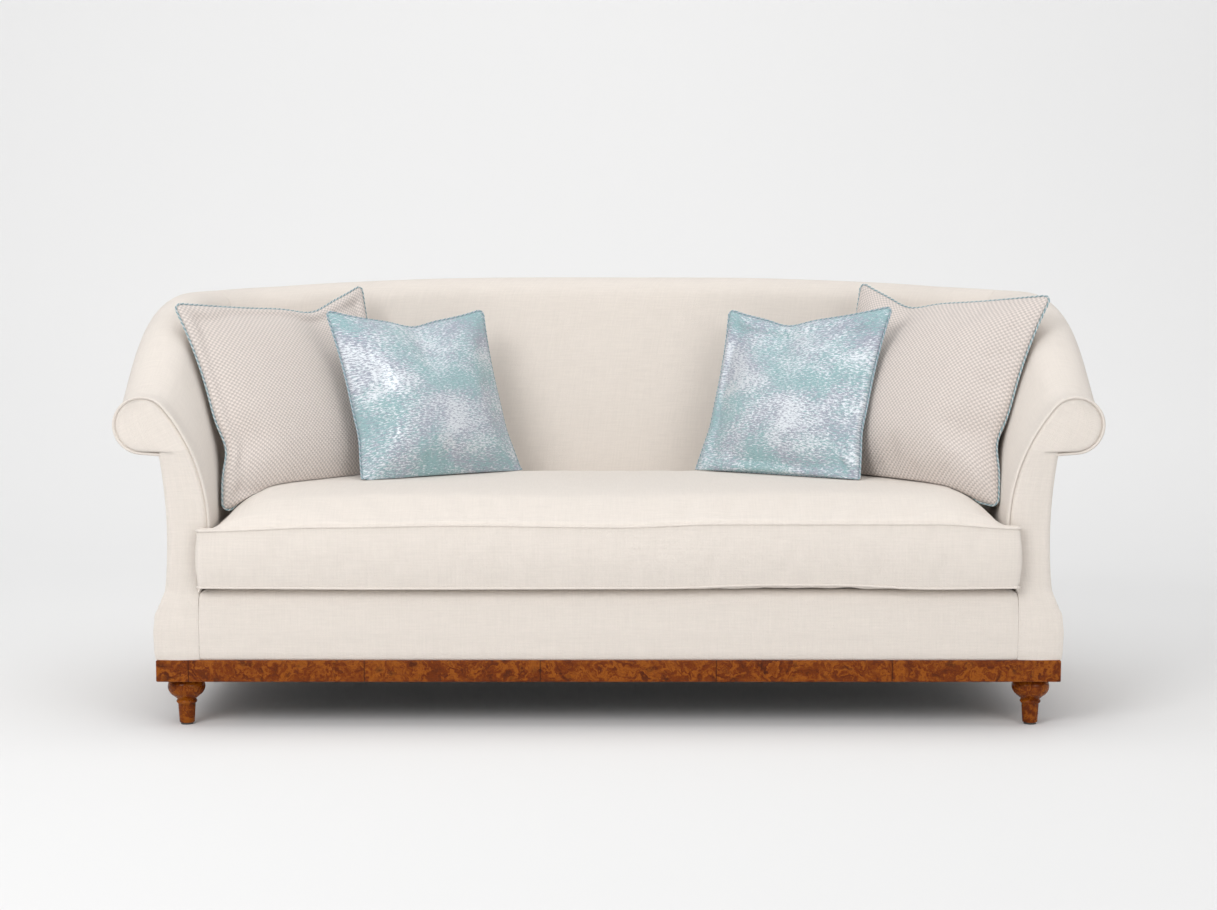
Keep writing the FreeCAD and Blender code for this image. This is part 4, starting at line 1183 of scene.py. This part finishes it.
def walnut(colours, name, scale, joints):
    """Polished walnut; joints darkens the butt joints between the leaves of veneer."""
    n = Finish(name, 0.24, Coat_Weight=0.22, Coat_Roughness=0.05, Specular_IOR_Level=0.03)
    vector = n.object_vector()
    figure = n.group(burr_figure, vector, Scale=scale)
    middle, dark = rgb(colours.walnut), rgb(colours.walnut_dark)
    base = n.ramp(figure["Cloud"], (0.30, dark), (0.47, middle),
                  (0.60, rgb(colours.walnut_light)), (0.72, middle))
    base = n.blend(n.times(figure["Eyes"], 0.8), base, rgb(dark, 0.7))
    base = n.blend(n.times(figure["Pores"], 0.25), base, dark)
    if joints:
        leaf = n.times(n.plus(n.split(vector)[0], VENEER_START), math.pi / VENEER_LEAF)
        line = n.math("LESS_THAN", n.math("ABSOLUTE", n.math("SINE", leaf)), 0.012)
        base = n.blend(n.times(line, 0.65), base, rgb(dark, 0.5))
    n.feed(Base_Color=base, Roughness=n.plus(0.18, n.times(figure["Pores"], 0.16)))
    n.bump(figure["Pores"], 0.08, 0.0004)
    return n.material


def plain_wood(name, light, dark):
    n = Finish(name, 0.62, Specular_IOR_Level=0.35)
    vector = n.object_vector()
    grain = n.streaks(vector, (4.0, 60.0, 60.0), 4.0, 0.6, 0.6)
    pores = n.streaks(vector, (20.0, 420.0, 420.0), 2.0, 0.6)
    base = n.blend(n.mask(grain, 0.35, 0.65), rgb(light), rgb(dark))
    n.feed(Base_Color=n.blend(n.times(pores, 0.25), base, rgb(dark, 0.6)))
    n.bump(pores, 0.25, 0.0008)
    return n.material


def plain_cloth(name, tint, count):
    n = Finish(name, 0.9, Specular_IOR_Level=0.2)
    weave = n.group(plain_weave, n.object_vector(), Warp_Count=count, Weft_Count=count, Slub=0.4)
    base = n.blend(weave["Over"], rgb(tint, 0.82), rgb(tint, 1.08))
    n.feed(Base_Color=n.blend(n.times(weave["Tone"], 0.3), base, rgb(tint, 0.7)))
    n.bump(weave["Height"], 0.5, 0.0008)
    return n.material


def worn_surface(name, tint, rough, metal):
    """Plain hard finish with faint handling marks."""
    n = Finish(name, rough, Metallic=metal)
    mark = n.noise(n.object_vector(), 140.0, 4.0, 0.6)
    n.feed(Base_Color=n.blend(mark, rgb(tint, 0.85), rgb(tint, 1.1)),
           Roughness=n.plus(rough - 0.1, n.times(mark, 0.2)))
    n.bump(mark, 0.1, 0.0004)
    return n.material


# Sizes and colours a user would change

class SofaSizes(bpy.types.PropertyGroup):
    welt_radius: FloatProperty(
        name="Welt", description="Radius of the sewn welts", default=0.003, unit="LENGTH")
    piping_radius: FloatProperty(
        name="Piping", description="Radius of the scatter cushions' piping", default=0.0027,
        unit="LENGTH")
    front_edge: FloatProperty(
        name="Arm front edge", description="Arm cover that shows round the arm front",
        default=0.0072, unit="LENGTH")
    hand: FloatProperty(
        name="Unevenness", description="Unevenness of the fixed upholstery", default=0.0016,
        unit="LENGTH")
    sink: FloatProperty(
        name="Sink", description="How far scatter cushions sink into the seat", default=0.010,
        unit="LENGTH")


class SofaColours(bpy.types.PropertyGroup):
    ivory: FloatVectorProperty(
        name="Ivory", description="Main cloth", subtype="COLOR", default=(0.90, 0.825, 0.752))
    oatmeal: FloatVectorProperty(
        name="Oatmeal", description="Large cushions", subtype="COLOR",
        default=(0.64, 0.567, 0.527))
    aqua: FloatVectorProperty(
        name="Aqua", description="Small cushions", subtype="COLOR", default=(0.29, 0.46, 0.48))
    lavender: FloatVectorProperty(
        name="Lavender", description="Shaded parts of the small cushions", subtype="COLOR",
        default=(0.35, 0.37, 0.45))
    walnut: FloatVectorProperty(
        name="Walnut", description="Middle tone of the veneer", subtype="COLOR",
        default=(0.165, 0.031, 0.002))
    walnut_light: FloatVectorProperty(
        name="Walnut light", description="Light tone of the veneer", subtype="COLOR",
        default=(0.32, 0.090, 0.007))
    walnut_dark: FloatVectorProperty(
        name="Walnut dark", description="Dark tone of the veneer", subtype="COLOR",
        default=(0.06, 0.013, 0.003))


# Operators

BODY = "sofa_frame"
SIDES = (("right", False), ("left", True))
WELT_INSET, WELT_BEHIND, ARM_WELT_SHARE = 0.0008, 0.0028, 0.7
SEAT_WELT_STEP = 0.008
PRESS_GAP = 0.0012


def upholster(colours, name, loops, node, fill, hand=0.0, flip=False):
    """One piece of the fixed ivory upholstery."""
    piece = loft(name, loops, hand, flip)
    dress(piece, ivory_cloth(colours), BODY, "ivory_cloth", node, fill=fill)


class SofaOperator(bpy.types.Operator):
    bl_options = {"REGISTER"}

    def execute(self, context):
        self.make(context.scene.sofa_sizes, context.scene.sofa_colours)
        return {"FINISHED"}


class SOFA_OT_arms_and_back(SofaOperator):
    """Scrolled arms that sweep up into the scrolled back"""
    bl_idname = "sofa.arms_and_back"
    bl_label = "Arms and back"

    def make(self, sizes, colours):
        loops = arm_loops()
        for side, flip in SIDES:
            upholster(colours, side + "_arm", loops, side + "_arm_pad", 0.95, sizes.hand, flip)
        upholster(colours, "back", back_loops(), "back_pad", 0.95, sizes.hand)


class SOFA_OT_arm_fronts(SofaOperator):
    """Padded arm fronts with the sewn welt inside their edge"""
    bl_idname = "sofa.arm_fronts"
    bl_label = "Arm fronts"

    def make(self, sizes, colours):
        loops = arm_front_loops(sizes.front_edge)
        line = skin_line(ARM_FRONT_CUT, sizes.welt_radius + WELT_INSET)
        path = [Vector((CORNER_X + u, FACE_Y + WELT_BEHIND, z)) for u, z in line]
        strand = (ivory_cloth(colours, True), {"Radius": sizes.welt_radius * ARM_WELT_SHARE})
        for side, flip in SIDES:
            node = side + "_arm_facing"
            upholster(colours, side + "_arm_front", loops, node, 0.9, flip=flip)
            points = mirrored([path])[0] if flip else path
            welt = sewn_cord(side + "_arm_welt", points, False, [strand])
            attach(welt, BODY, "ivory_cloth", node + "_welt")


class SOFA_OT_borders(SofaOperator):
    """Upholstered borders round the base"""
    bl_idname = "sofa.borders"
    bl_label = "Borders"

    def make(self, sizes, colours):
        upholster(colours, "front_border_cover", front_border_loops(), "front_border", 0.9)
        loops = border_loops(lambda depth, y, z: Vector((depth, y, z)), BOARD_Y - LAP,
                             BORDER_BACK_Y - 0.0002, RAIL_OUT_X)
        for side, flip in SIDES:
            upholster(colours, side + "_border_cover", loops, side + "_side_border", 0.9, flip=flip)
        loops = border_loops(lambda depth, x, z: Vector((x, depth, z)), -PANEL_X, PANEL_X,
                             RAIL_BACK_Y)
        upholster(colours, "back_border_cover", loops, "back_border", 0.9)


class SOFA_OT_outside_panels(SofaOperator):
    """Covered panels on the outside of the arms and the back"""
    bl_idname = "sofa.outside_panels"
    bl_label = "Outside panels"

    def make(self, sizes, colours):
        loops = arm_panel_loops()
        for side, flip in SIDES:
            name = side + "_outside_arm"
            upholster(colours, name, loops, name + "_panel", 0.9, flip=flip)
        upholster(colours, "outside_back", back_panel_loops(), "outside_back_panel", 0.9)


class SOFA_OT_seat_cushion(SofaOperator):
    """Loose boxed seat cushion with welted seams"""
    bl_idname = "sofa.seat_cushion"
    bl_label = "Seat cushion"

    def make(self, sizes, colours):
        piece, seams = seat_cover()
        plump(piece, seams[0] + seams[1], pressure=3.0, cap=0.014, grow=0.012, ease=0.03)
        for vert in piece.data.vertices:
            vert.co.z = max(vert.co.z, SEAT_LOW - 0.0002)
        paths = [[piece.data.vertices[i].co.copy() for i in seam] for seam in seams]
        for point in paths[1]:
            point.z += sizes.welt_radius
        soften(piece)
        dress(piece, ivory_cloth(colours), "seat_cushion", "ivory_cloth", "seat_cushion_cover",
              fill=0.85)
        strand = (ivory_cloth(colours, True),
                  {"Radius": sizes.welt_radius, "Step": SEAT_WELT_STEP})
        for level, path in zip(("top", "bottom"), paths):
            cord = sewn_cord("seat_" + level + "_welt", path, True, [strand])
            attach(cord, "seat_cushion", "ivory_cloth", "seat_cushion_" + level + "_welt")


class SOFA_OT_scatter_cushions(SofaOperator):
    """Loose scatter cushions with corded edges"""
    bl_idname = "sofa.scatter_cushions"
    bl_label = "Scatter cushions"

    def make(self, sizes, colours):
        carriers = [shape_tree(bpy.data.objects[name])
                    for name in ("seat_cushion", "left_arm", "right_arm", "back")]
        aqua = yarn("aqua_yarn", (0.30, 0.46, 0.49), (0.12, 0.22, 0.25))
        white = yarn("white_yarn", (0.70, 0.72, 0.72), (0.40, 0.42, 0.44))
        lilac = yarn("lilac_yarn", (0.56, 0.60, 0.66), (0.34, 0.38, 0.44))
        large = (oatmeal_cloth(colours), "oatmeal_weave", white, "two_tone_piping")
        small = (aqua_cloth(colours), "aqua_cloth", lilac, "aqua_piping")
        radius = sizes.piping_radius
        lay = {"Radius": radius * 0.55, "Lay Radius": radius * 0.42, "Lay Length": radius * 5,
               "Step": 0.0018}
        for cushion in CUSHIONS:
            name = cushion.name
            cloth, slot, pale, piping = large if "large" in name else small
            piece, seam = cushion_cover(cushion, sizes.sink)
            plump(piece, seam, pressure=2.2, cap=0.016, grow=0.02, ease=0.09)
            press_clear(piece, seam, carriers, PRESS_GAP, radius + PRESS_GAP)
            path = [piece.data.vertices[i].co.copy() for i in seam]
            soften(piece)
            carriers.append(shape_tree(piece))
            dress(piece, cloth, name, slot, name + "_cover", name + "_insert", fill=0.7)
            strands = [(pale, {**lay, "Phase": 0.0}), (aqua, {**lay, "Phase": math.pi})]
            attach(sewn_cord(name + "_cord", path, True, strands), name, piping, name + "_piping")


FOOT_SIDES = 64


def foot_profile():
    """Radius and height of the turned foot, from the glide up, in metres."""
    low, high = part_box("front_left_foot")[0].z, PLINTH_Z
    ring_z, neck_z, bulb_z = (mix(low, high, share) for share in (0.47, 0.52, 0.79))
    toe, stem = (0.017, low + 0.002), (0.0196, ring_z - 0.0045)
    ring, neck = (0.0232, ring_z), (0.0205, neck_z)
    waist, bulb = (0.0332, mix(neck_z, bulb_z, 0.40)), (0.042, bulb_z)
    over, top = (0.0402, mix(bulb_z, high, 0.55)), (0.0345, high - 0.0002)
    line = [(0.0, low), (0.0152, low), (0.0165, low + 0.0006)]
    line += run_points(toe, stem, 8) + [stem]
    line += arc_points((stem[0] + 0.0008, stem[1] + 0.0006), ring,
                       (neck[0] + 0.0006, neck[1] - 0.0004), 10)
    line += arc_points(neck, (0.0262, mix(neck_z, bulb_z, 0.20)), waist, 8)[:-1]
    line += arc_points(waist, (0.0396, mix(neck_z, bulb_z, 0.70)), bulb, 10)[:-1]
    return line + arc_points(bulb, over, top, 10) + [(0.0, top[1])]


class SOFA_OT_plinth_and_feet(SofaOperator):
    """Burr-veneered plinth on turned feet"""
    bl_idname = "sofa.plinth_and_feet"
    bl_label = "Plinth and feet"

    def make(self, sizes, colours):
        veneer = walnut(colours, "burr_walnut", 17.0, True)
        turned = walnut(colours, "turned_walnut", 24.0, False)
        for side in ("front", "back", "left", "right"):
            paint(bpy.data.objects["plinth_" + side], veneer)
        line = foot_profile()
        for place in ("front_left", "front_right", "rear_left", "rear_right"):
            low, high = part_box(place + "_foot")
            centre = (low + high) / 2
            loops = []
            for k in range(FOOT_SIDES):
                a = 2 * math.pi * k / FOOT_SIDES
                loops.append([(centre.x + r * math.cos(a), centre.y + r * math.sin(a), z)
                              for r, z in line])
            piece = skin(place + "_turned_foot", loops, wrap=True)
            dress(piece, turned, BODY, "turned_walnut", place + "_foot")


DUST_NOTCH = 0.0955
DUST_T = 0.0009
DUST_SAG, DUST_SAG_POWER = 0.0022, 0.7
DUST_PUCKER, DUST_PUCKERS, DUST_PUCKER_RUN = 0.0005, 90.0, 0.05
DUST_BELOW = 0.0006
DUST_COLS, DUST_ROWS = 60, 20


def dust_sheet():
    """Cloth inside the plinth, cut out round the corner blocks; returns it and its flat size."""
    low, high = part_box("dust_cover")
    width, depth = high.x - low.x, high.y - low.y

    def marks(a, b, count):
        inner = [mix(a + DUST_NOTCH, b - DUST_NOTCH, i / count) for i in range(count + 1)]
        return [a] + inner + [b]
    xs, ys = marks(low.x, high.x, DUST_COLS), marks(low.y, high.y, DUST_ROWS)
    bm = bmesh.new()
    verts = {}

    def vert(i, j):
        if (i, j) not in verts:
            x, y = xs[i], ys[j]
            across, along = (x - low.x) / width, (y - low.y) / depth
            slack = math.sin(math.pi * across) * math.sin(math.pi * along)
            edge = 1 - smooth(min(y - low.y, high.y - y) / DUST_PUCKER_RUN)
            z = high.z - DUST_BELOW - DUST_SAG * slack ** DUST_SAG_POWER
            verts[i, j] = bm.verts.new((x, y, z + DUST_PUCKER * math.sin(x * DUST_PUCKERS) * edge))
        return verts[i, j]
    for cell in cells(len(ys) - 1, len(xs) - 1):
        j, i = cell[0]
        if i not in (0, len(xs) - 2) or j not in (0, len(ys) - 2):
            bm.faces.new([vert(i, j) for j, i in cell])
    # The cloth gets its thickness along normals that new faces don't have yet
    bm.normal_update()
    bmesh.ops.solidify(bm, geom=bm.faces[:], thickness=DUST_T)
    bm.normal_update()
    for face in bm.faces:
        face.smooth = abs(face.normal.z) > 0.5
    return merged_piece("dust_sheet", bm), (width, depth)


DECK_ROWS, DECK_COLS, DECK_UNDER = 46, 80, 4
DECK_EDGE, DECK_EDGE_RUN = 0.012, 0.018
DECK_LOW_SHARE, DECK_TUCK_SHARE = 0.45, 0.35


def deck_loops():
    """Deck whose cloth runs on past its padding, tucked in at the arms, back and front."""
    low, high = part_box("seat_deck")
    reach, front, back = ARM_IN_X + 0.001, low.y - 0.006, high.y + 0.007
    loops = []
    for along in crowded(DECK_ROWS):
        y = mix(front, back, 0.5 + 0.5 * along)
        loop = []
        for across in crowded(DECK_COLS):
            x = reach * across
            inside = min(y - front, back - y, high.x + DECK_EDGE - abs(x))
            share = DECK_LOW_SHARE + (1 - DECK_LOW_SHARE) * smooth(inside / DECK_EDGE_RUN)
            share -= DECK_TUCK_SHARE * smooth(max(0.0, abs(x) - high.x) / (reach - high.x))
            loop.append(Vector((x, y, mix(low.z, high.z, share))))
        for k in range(DECK_UNDER + 1):
            loop.append(Vector((mix(reach, -reach, k / DECK_UNDER), y, low.z)))
        loops.append(loop)
    return loops


class SOFA_OT_hidden_frame(SofaOperator):
    """Timbers, webbing, deck and fasteners under the upholstery"""
    bl_idname = "sofa.hidden_frame"
    bl_label = "Hidden frame"

    def make(self, sizes, colours):
        finishes = {
            "frame_beech": plain_wood("planed_beech", (0.66, 0.48, 0.31), (0.52, 0.34, 0.20)),
            "webbing": plain_cloth("elastic_webbing", (0.16, 0.11, 0.08), 320.0),
            "dust_cloth": plain_cloth("black_dust_cloth", (0.03, 0.03, 0.03), 500.0),
            "stuffing": plain_cloth("filling_case", (0.80, 0.78, 0.72), 500.0),
            "bolt_steel": worn_surface("zinc_steel", (0.58, 0.58, 0.56), 0.35, 1.0),
            "glide_nylon": worn_surface("dark_nylon", (0.06, 0.055, 0.05), 0.5, 0.0),
        }
        for part in frame["record"]["subparts"]:
            if part["material_slot"] in finishes:
                paint(bpy.data.objects[part["node"]], finishes[part["material_slot"]])
        cloth = plain_cloth("deck_cloth", (0.70, 0.65, 0.57), 420.0)
        deck = loft("seat_deck_pad", deck_loops())
        dress(deck, cloth, BODY, "deck_cloth", "seat_deck", fill=0.9)
        sheet, flat = dust_sheet()
        dress(sheet, finishes["dust_cloth"], BODY, "dust_cloth", "dust_cover")


# Stage: lens and sensor in millimetres, the rest in metres and watts
LENS, SENSOR = 67.5, 36.0
CAMERA_AT = (0.0, -5.465, 1.107)
CAMERA_DOWN = math.radians(5.6)
LIGHTS_AIM = Vector((0.0, 0.0, 0.5))
LIGHTS = (("key", (-2.8, -4.4, 3.4), 2.6, 132.0), ("fill", (3.0, -4.6, 2.6), 3.0, 56.0),
          ("top", (0.0, -0.4, 4.6), 4.0, 60.0))
AIR = 0.57
FLOOR_HALF, FLOOR_FRONT, FLOOR_BEND, WALL_TOP = 14.0, -9.0, 2.2, 9.0
WALL_FOOT = (4.2, 2.0)
# The floor is painted greyer towards the front: painted shade that evens out the stronger light
# falling there
PALE, PALER, FRONT_PAINTED_SHADE = (0.93, 0.93, 0.93), (0.945, 0.945, 0.945), (0.74, 0.74, 0.74)
PAINTED_SHADE_FULL_Y = -2.4


class SOFA_OT_stage(SofaOperator):
    """Pale floor with a curved backdrop, soft lights and the camera"""
    bl_idname = "sofa.stage"
    bl_label = "Stage"

    def make(self, sizes, colours):
        scene = bpy.context.scene
        scene.view_settings.view_transform = "Standard"
        self.make_floor()
        scene.world = bpy.data.worlds.new("studio_air")
        scene.world.use_nodes = True
        air = scene.world.node_tree.nodes["Background"]
        air.inputs["Color"].default_value = (1.0, 1.0, 1.0, 1.0)
        air.inputs["Strength"].default_value = AIR
        for name, at, size, power in LIGHTS:
            data = bpy.data.lights.new(name, "AREA")
            data.energy, data.size = power, size
            aim = LIGHTS_AIM - Vector(at)
            self.put(name, data, at, aim.to_track_quat("-Z", "Y").to_euler())
        data = bpy.data.cameras.new("camera")
        data.lens, data.sensor_width, data.sensor_fit = LENS, SENSOR, "HORIZONTAL"
        scene.camera = self.put("camera", data, CAMERA_AT, (math.pi / 2 - CAMERA_DOWN, 0.0, 0.0))

    def put(self, name, data, at, turn):
        made = bpy.data.objects.new(name, data)
        made.location, made.rotation_euler = at, turn
        bpy.context.collection.objects.link(made)
        return made

    def make_floor(self):
        bend = arc_points((FLOOR_BEND, 0.0), (3.61, 0.586), WALL_FOOT, 16)
        line = [(FLOOR_FRONT, 0.0), (FLOOR_BEND, 0.0)] + bend[1:] + [(WALL_FOOT[0], WALL_TOP)]
        floor = skin("studio_floor", [[(x, y, z) for y, z in line]
                                      for x in (-FLOOR_HALF, FLOOR_HALF)])
        if floor.data.polygons[0].normal.z < 0:
            floor.data.flip_normals()
        n = Finish("pale_floor", 0.9, Specular_IOR_Level=0.1)
        vector = n.object_vector()
        base = n.blend(n.noise(vector, 0.7), rgb(PALE), rgb(PALER))
        # Painted shade: the floor's colour darkens from the foot of the backdrop to full grey in
        # front, where the lights fall more strongly
        values = {"Value": n.split(vector)[1], "From Min": FLOOR_BEND, "From Max": PAINTED_SHADE_FULL_Y}
        ahead = n.add("ShaderNodeMapRange", values, clamp=True).outputs[0]
        n.feed(Base_Color=n.blend(ahead, base, rgb(FRONT_PAINTED_SHADE)))
        # The backdrop is clear from behind, so that the back of the sofa can be seen
        behind = n.add("ShaderNodeNewGeometry").outputs["Backfacing"]
        clear = n.add("ShaderNodeBsdfTransparent").outputs[0]
        cut = n.add("ShaderNodeMixShader", {0: behind, 1: n.shader.outputs[0], 2: clear})
        n.tree.links.new(cut.outputs[0], n.tree.nodes["Material Output"].inputs["Surface"])
        floor.data.materials.append(n.material)


STEPS = (SOFA_OT_arms_and_back, SOFA_OT_arm_fronts, SOFA_OT_borders, SOFA_OT_outside_panels,
         SOFA_OT_seat_cushion, SOFA_OT_scatter_cushions, SOFA_OT_plinth_and_feet,
         SOFA_OT_hidden_frame, SOFA_OT_stage)


class SOFA_PT_pieces(bpy.types.Panel):
    """Sizes, colours and pieces of the sofa"""
    bl_label = "Sofa"
    bl_space_type = "VIEW_3D"
    bl_region_type = "UI"
    bl_category = "Sofa"

    def draw(self, context):
        for group in (context.scene.sofa_sizes, context.scene.sofa_colours):
            for key in group.__annotations__:
                self.layout.prop(group, key)
        for step in STEPS:
            self.layout.operator(step.bl_idname)


CLASSES = (SofaSizes, SofaColours, *STEPS, SOFA_PT_pieces)


def register():
    for item in CLASSES:
        bpy.utils.register_class(item)
    bpy.types.Scene.sofa_sizes = PointerProperty(type=SofaSizes)
    bpy.types.Scene.sofa_colours = PointerProperty(type=SofaColours)


def unregister():
    del bpy.types.Scene.sofa_colours
    del bpy.types.Scene.sofa_sizes
    for item in reversed(CLASSES):
        bpy.utils.unregister_class(item)


def main():
    register()
    for step in STEPS:
        area, name = step.bl_idname.split(".")
        getattr(getattr(bpy.ops, area), name)()


if __name__ == "__main__":
    main()
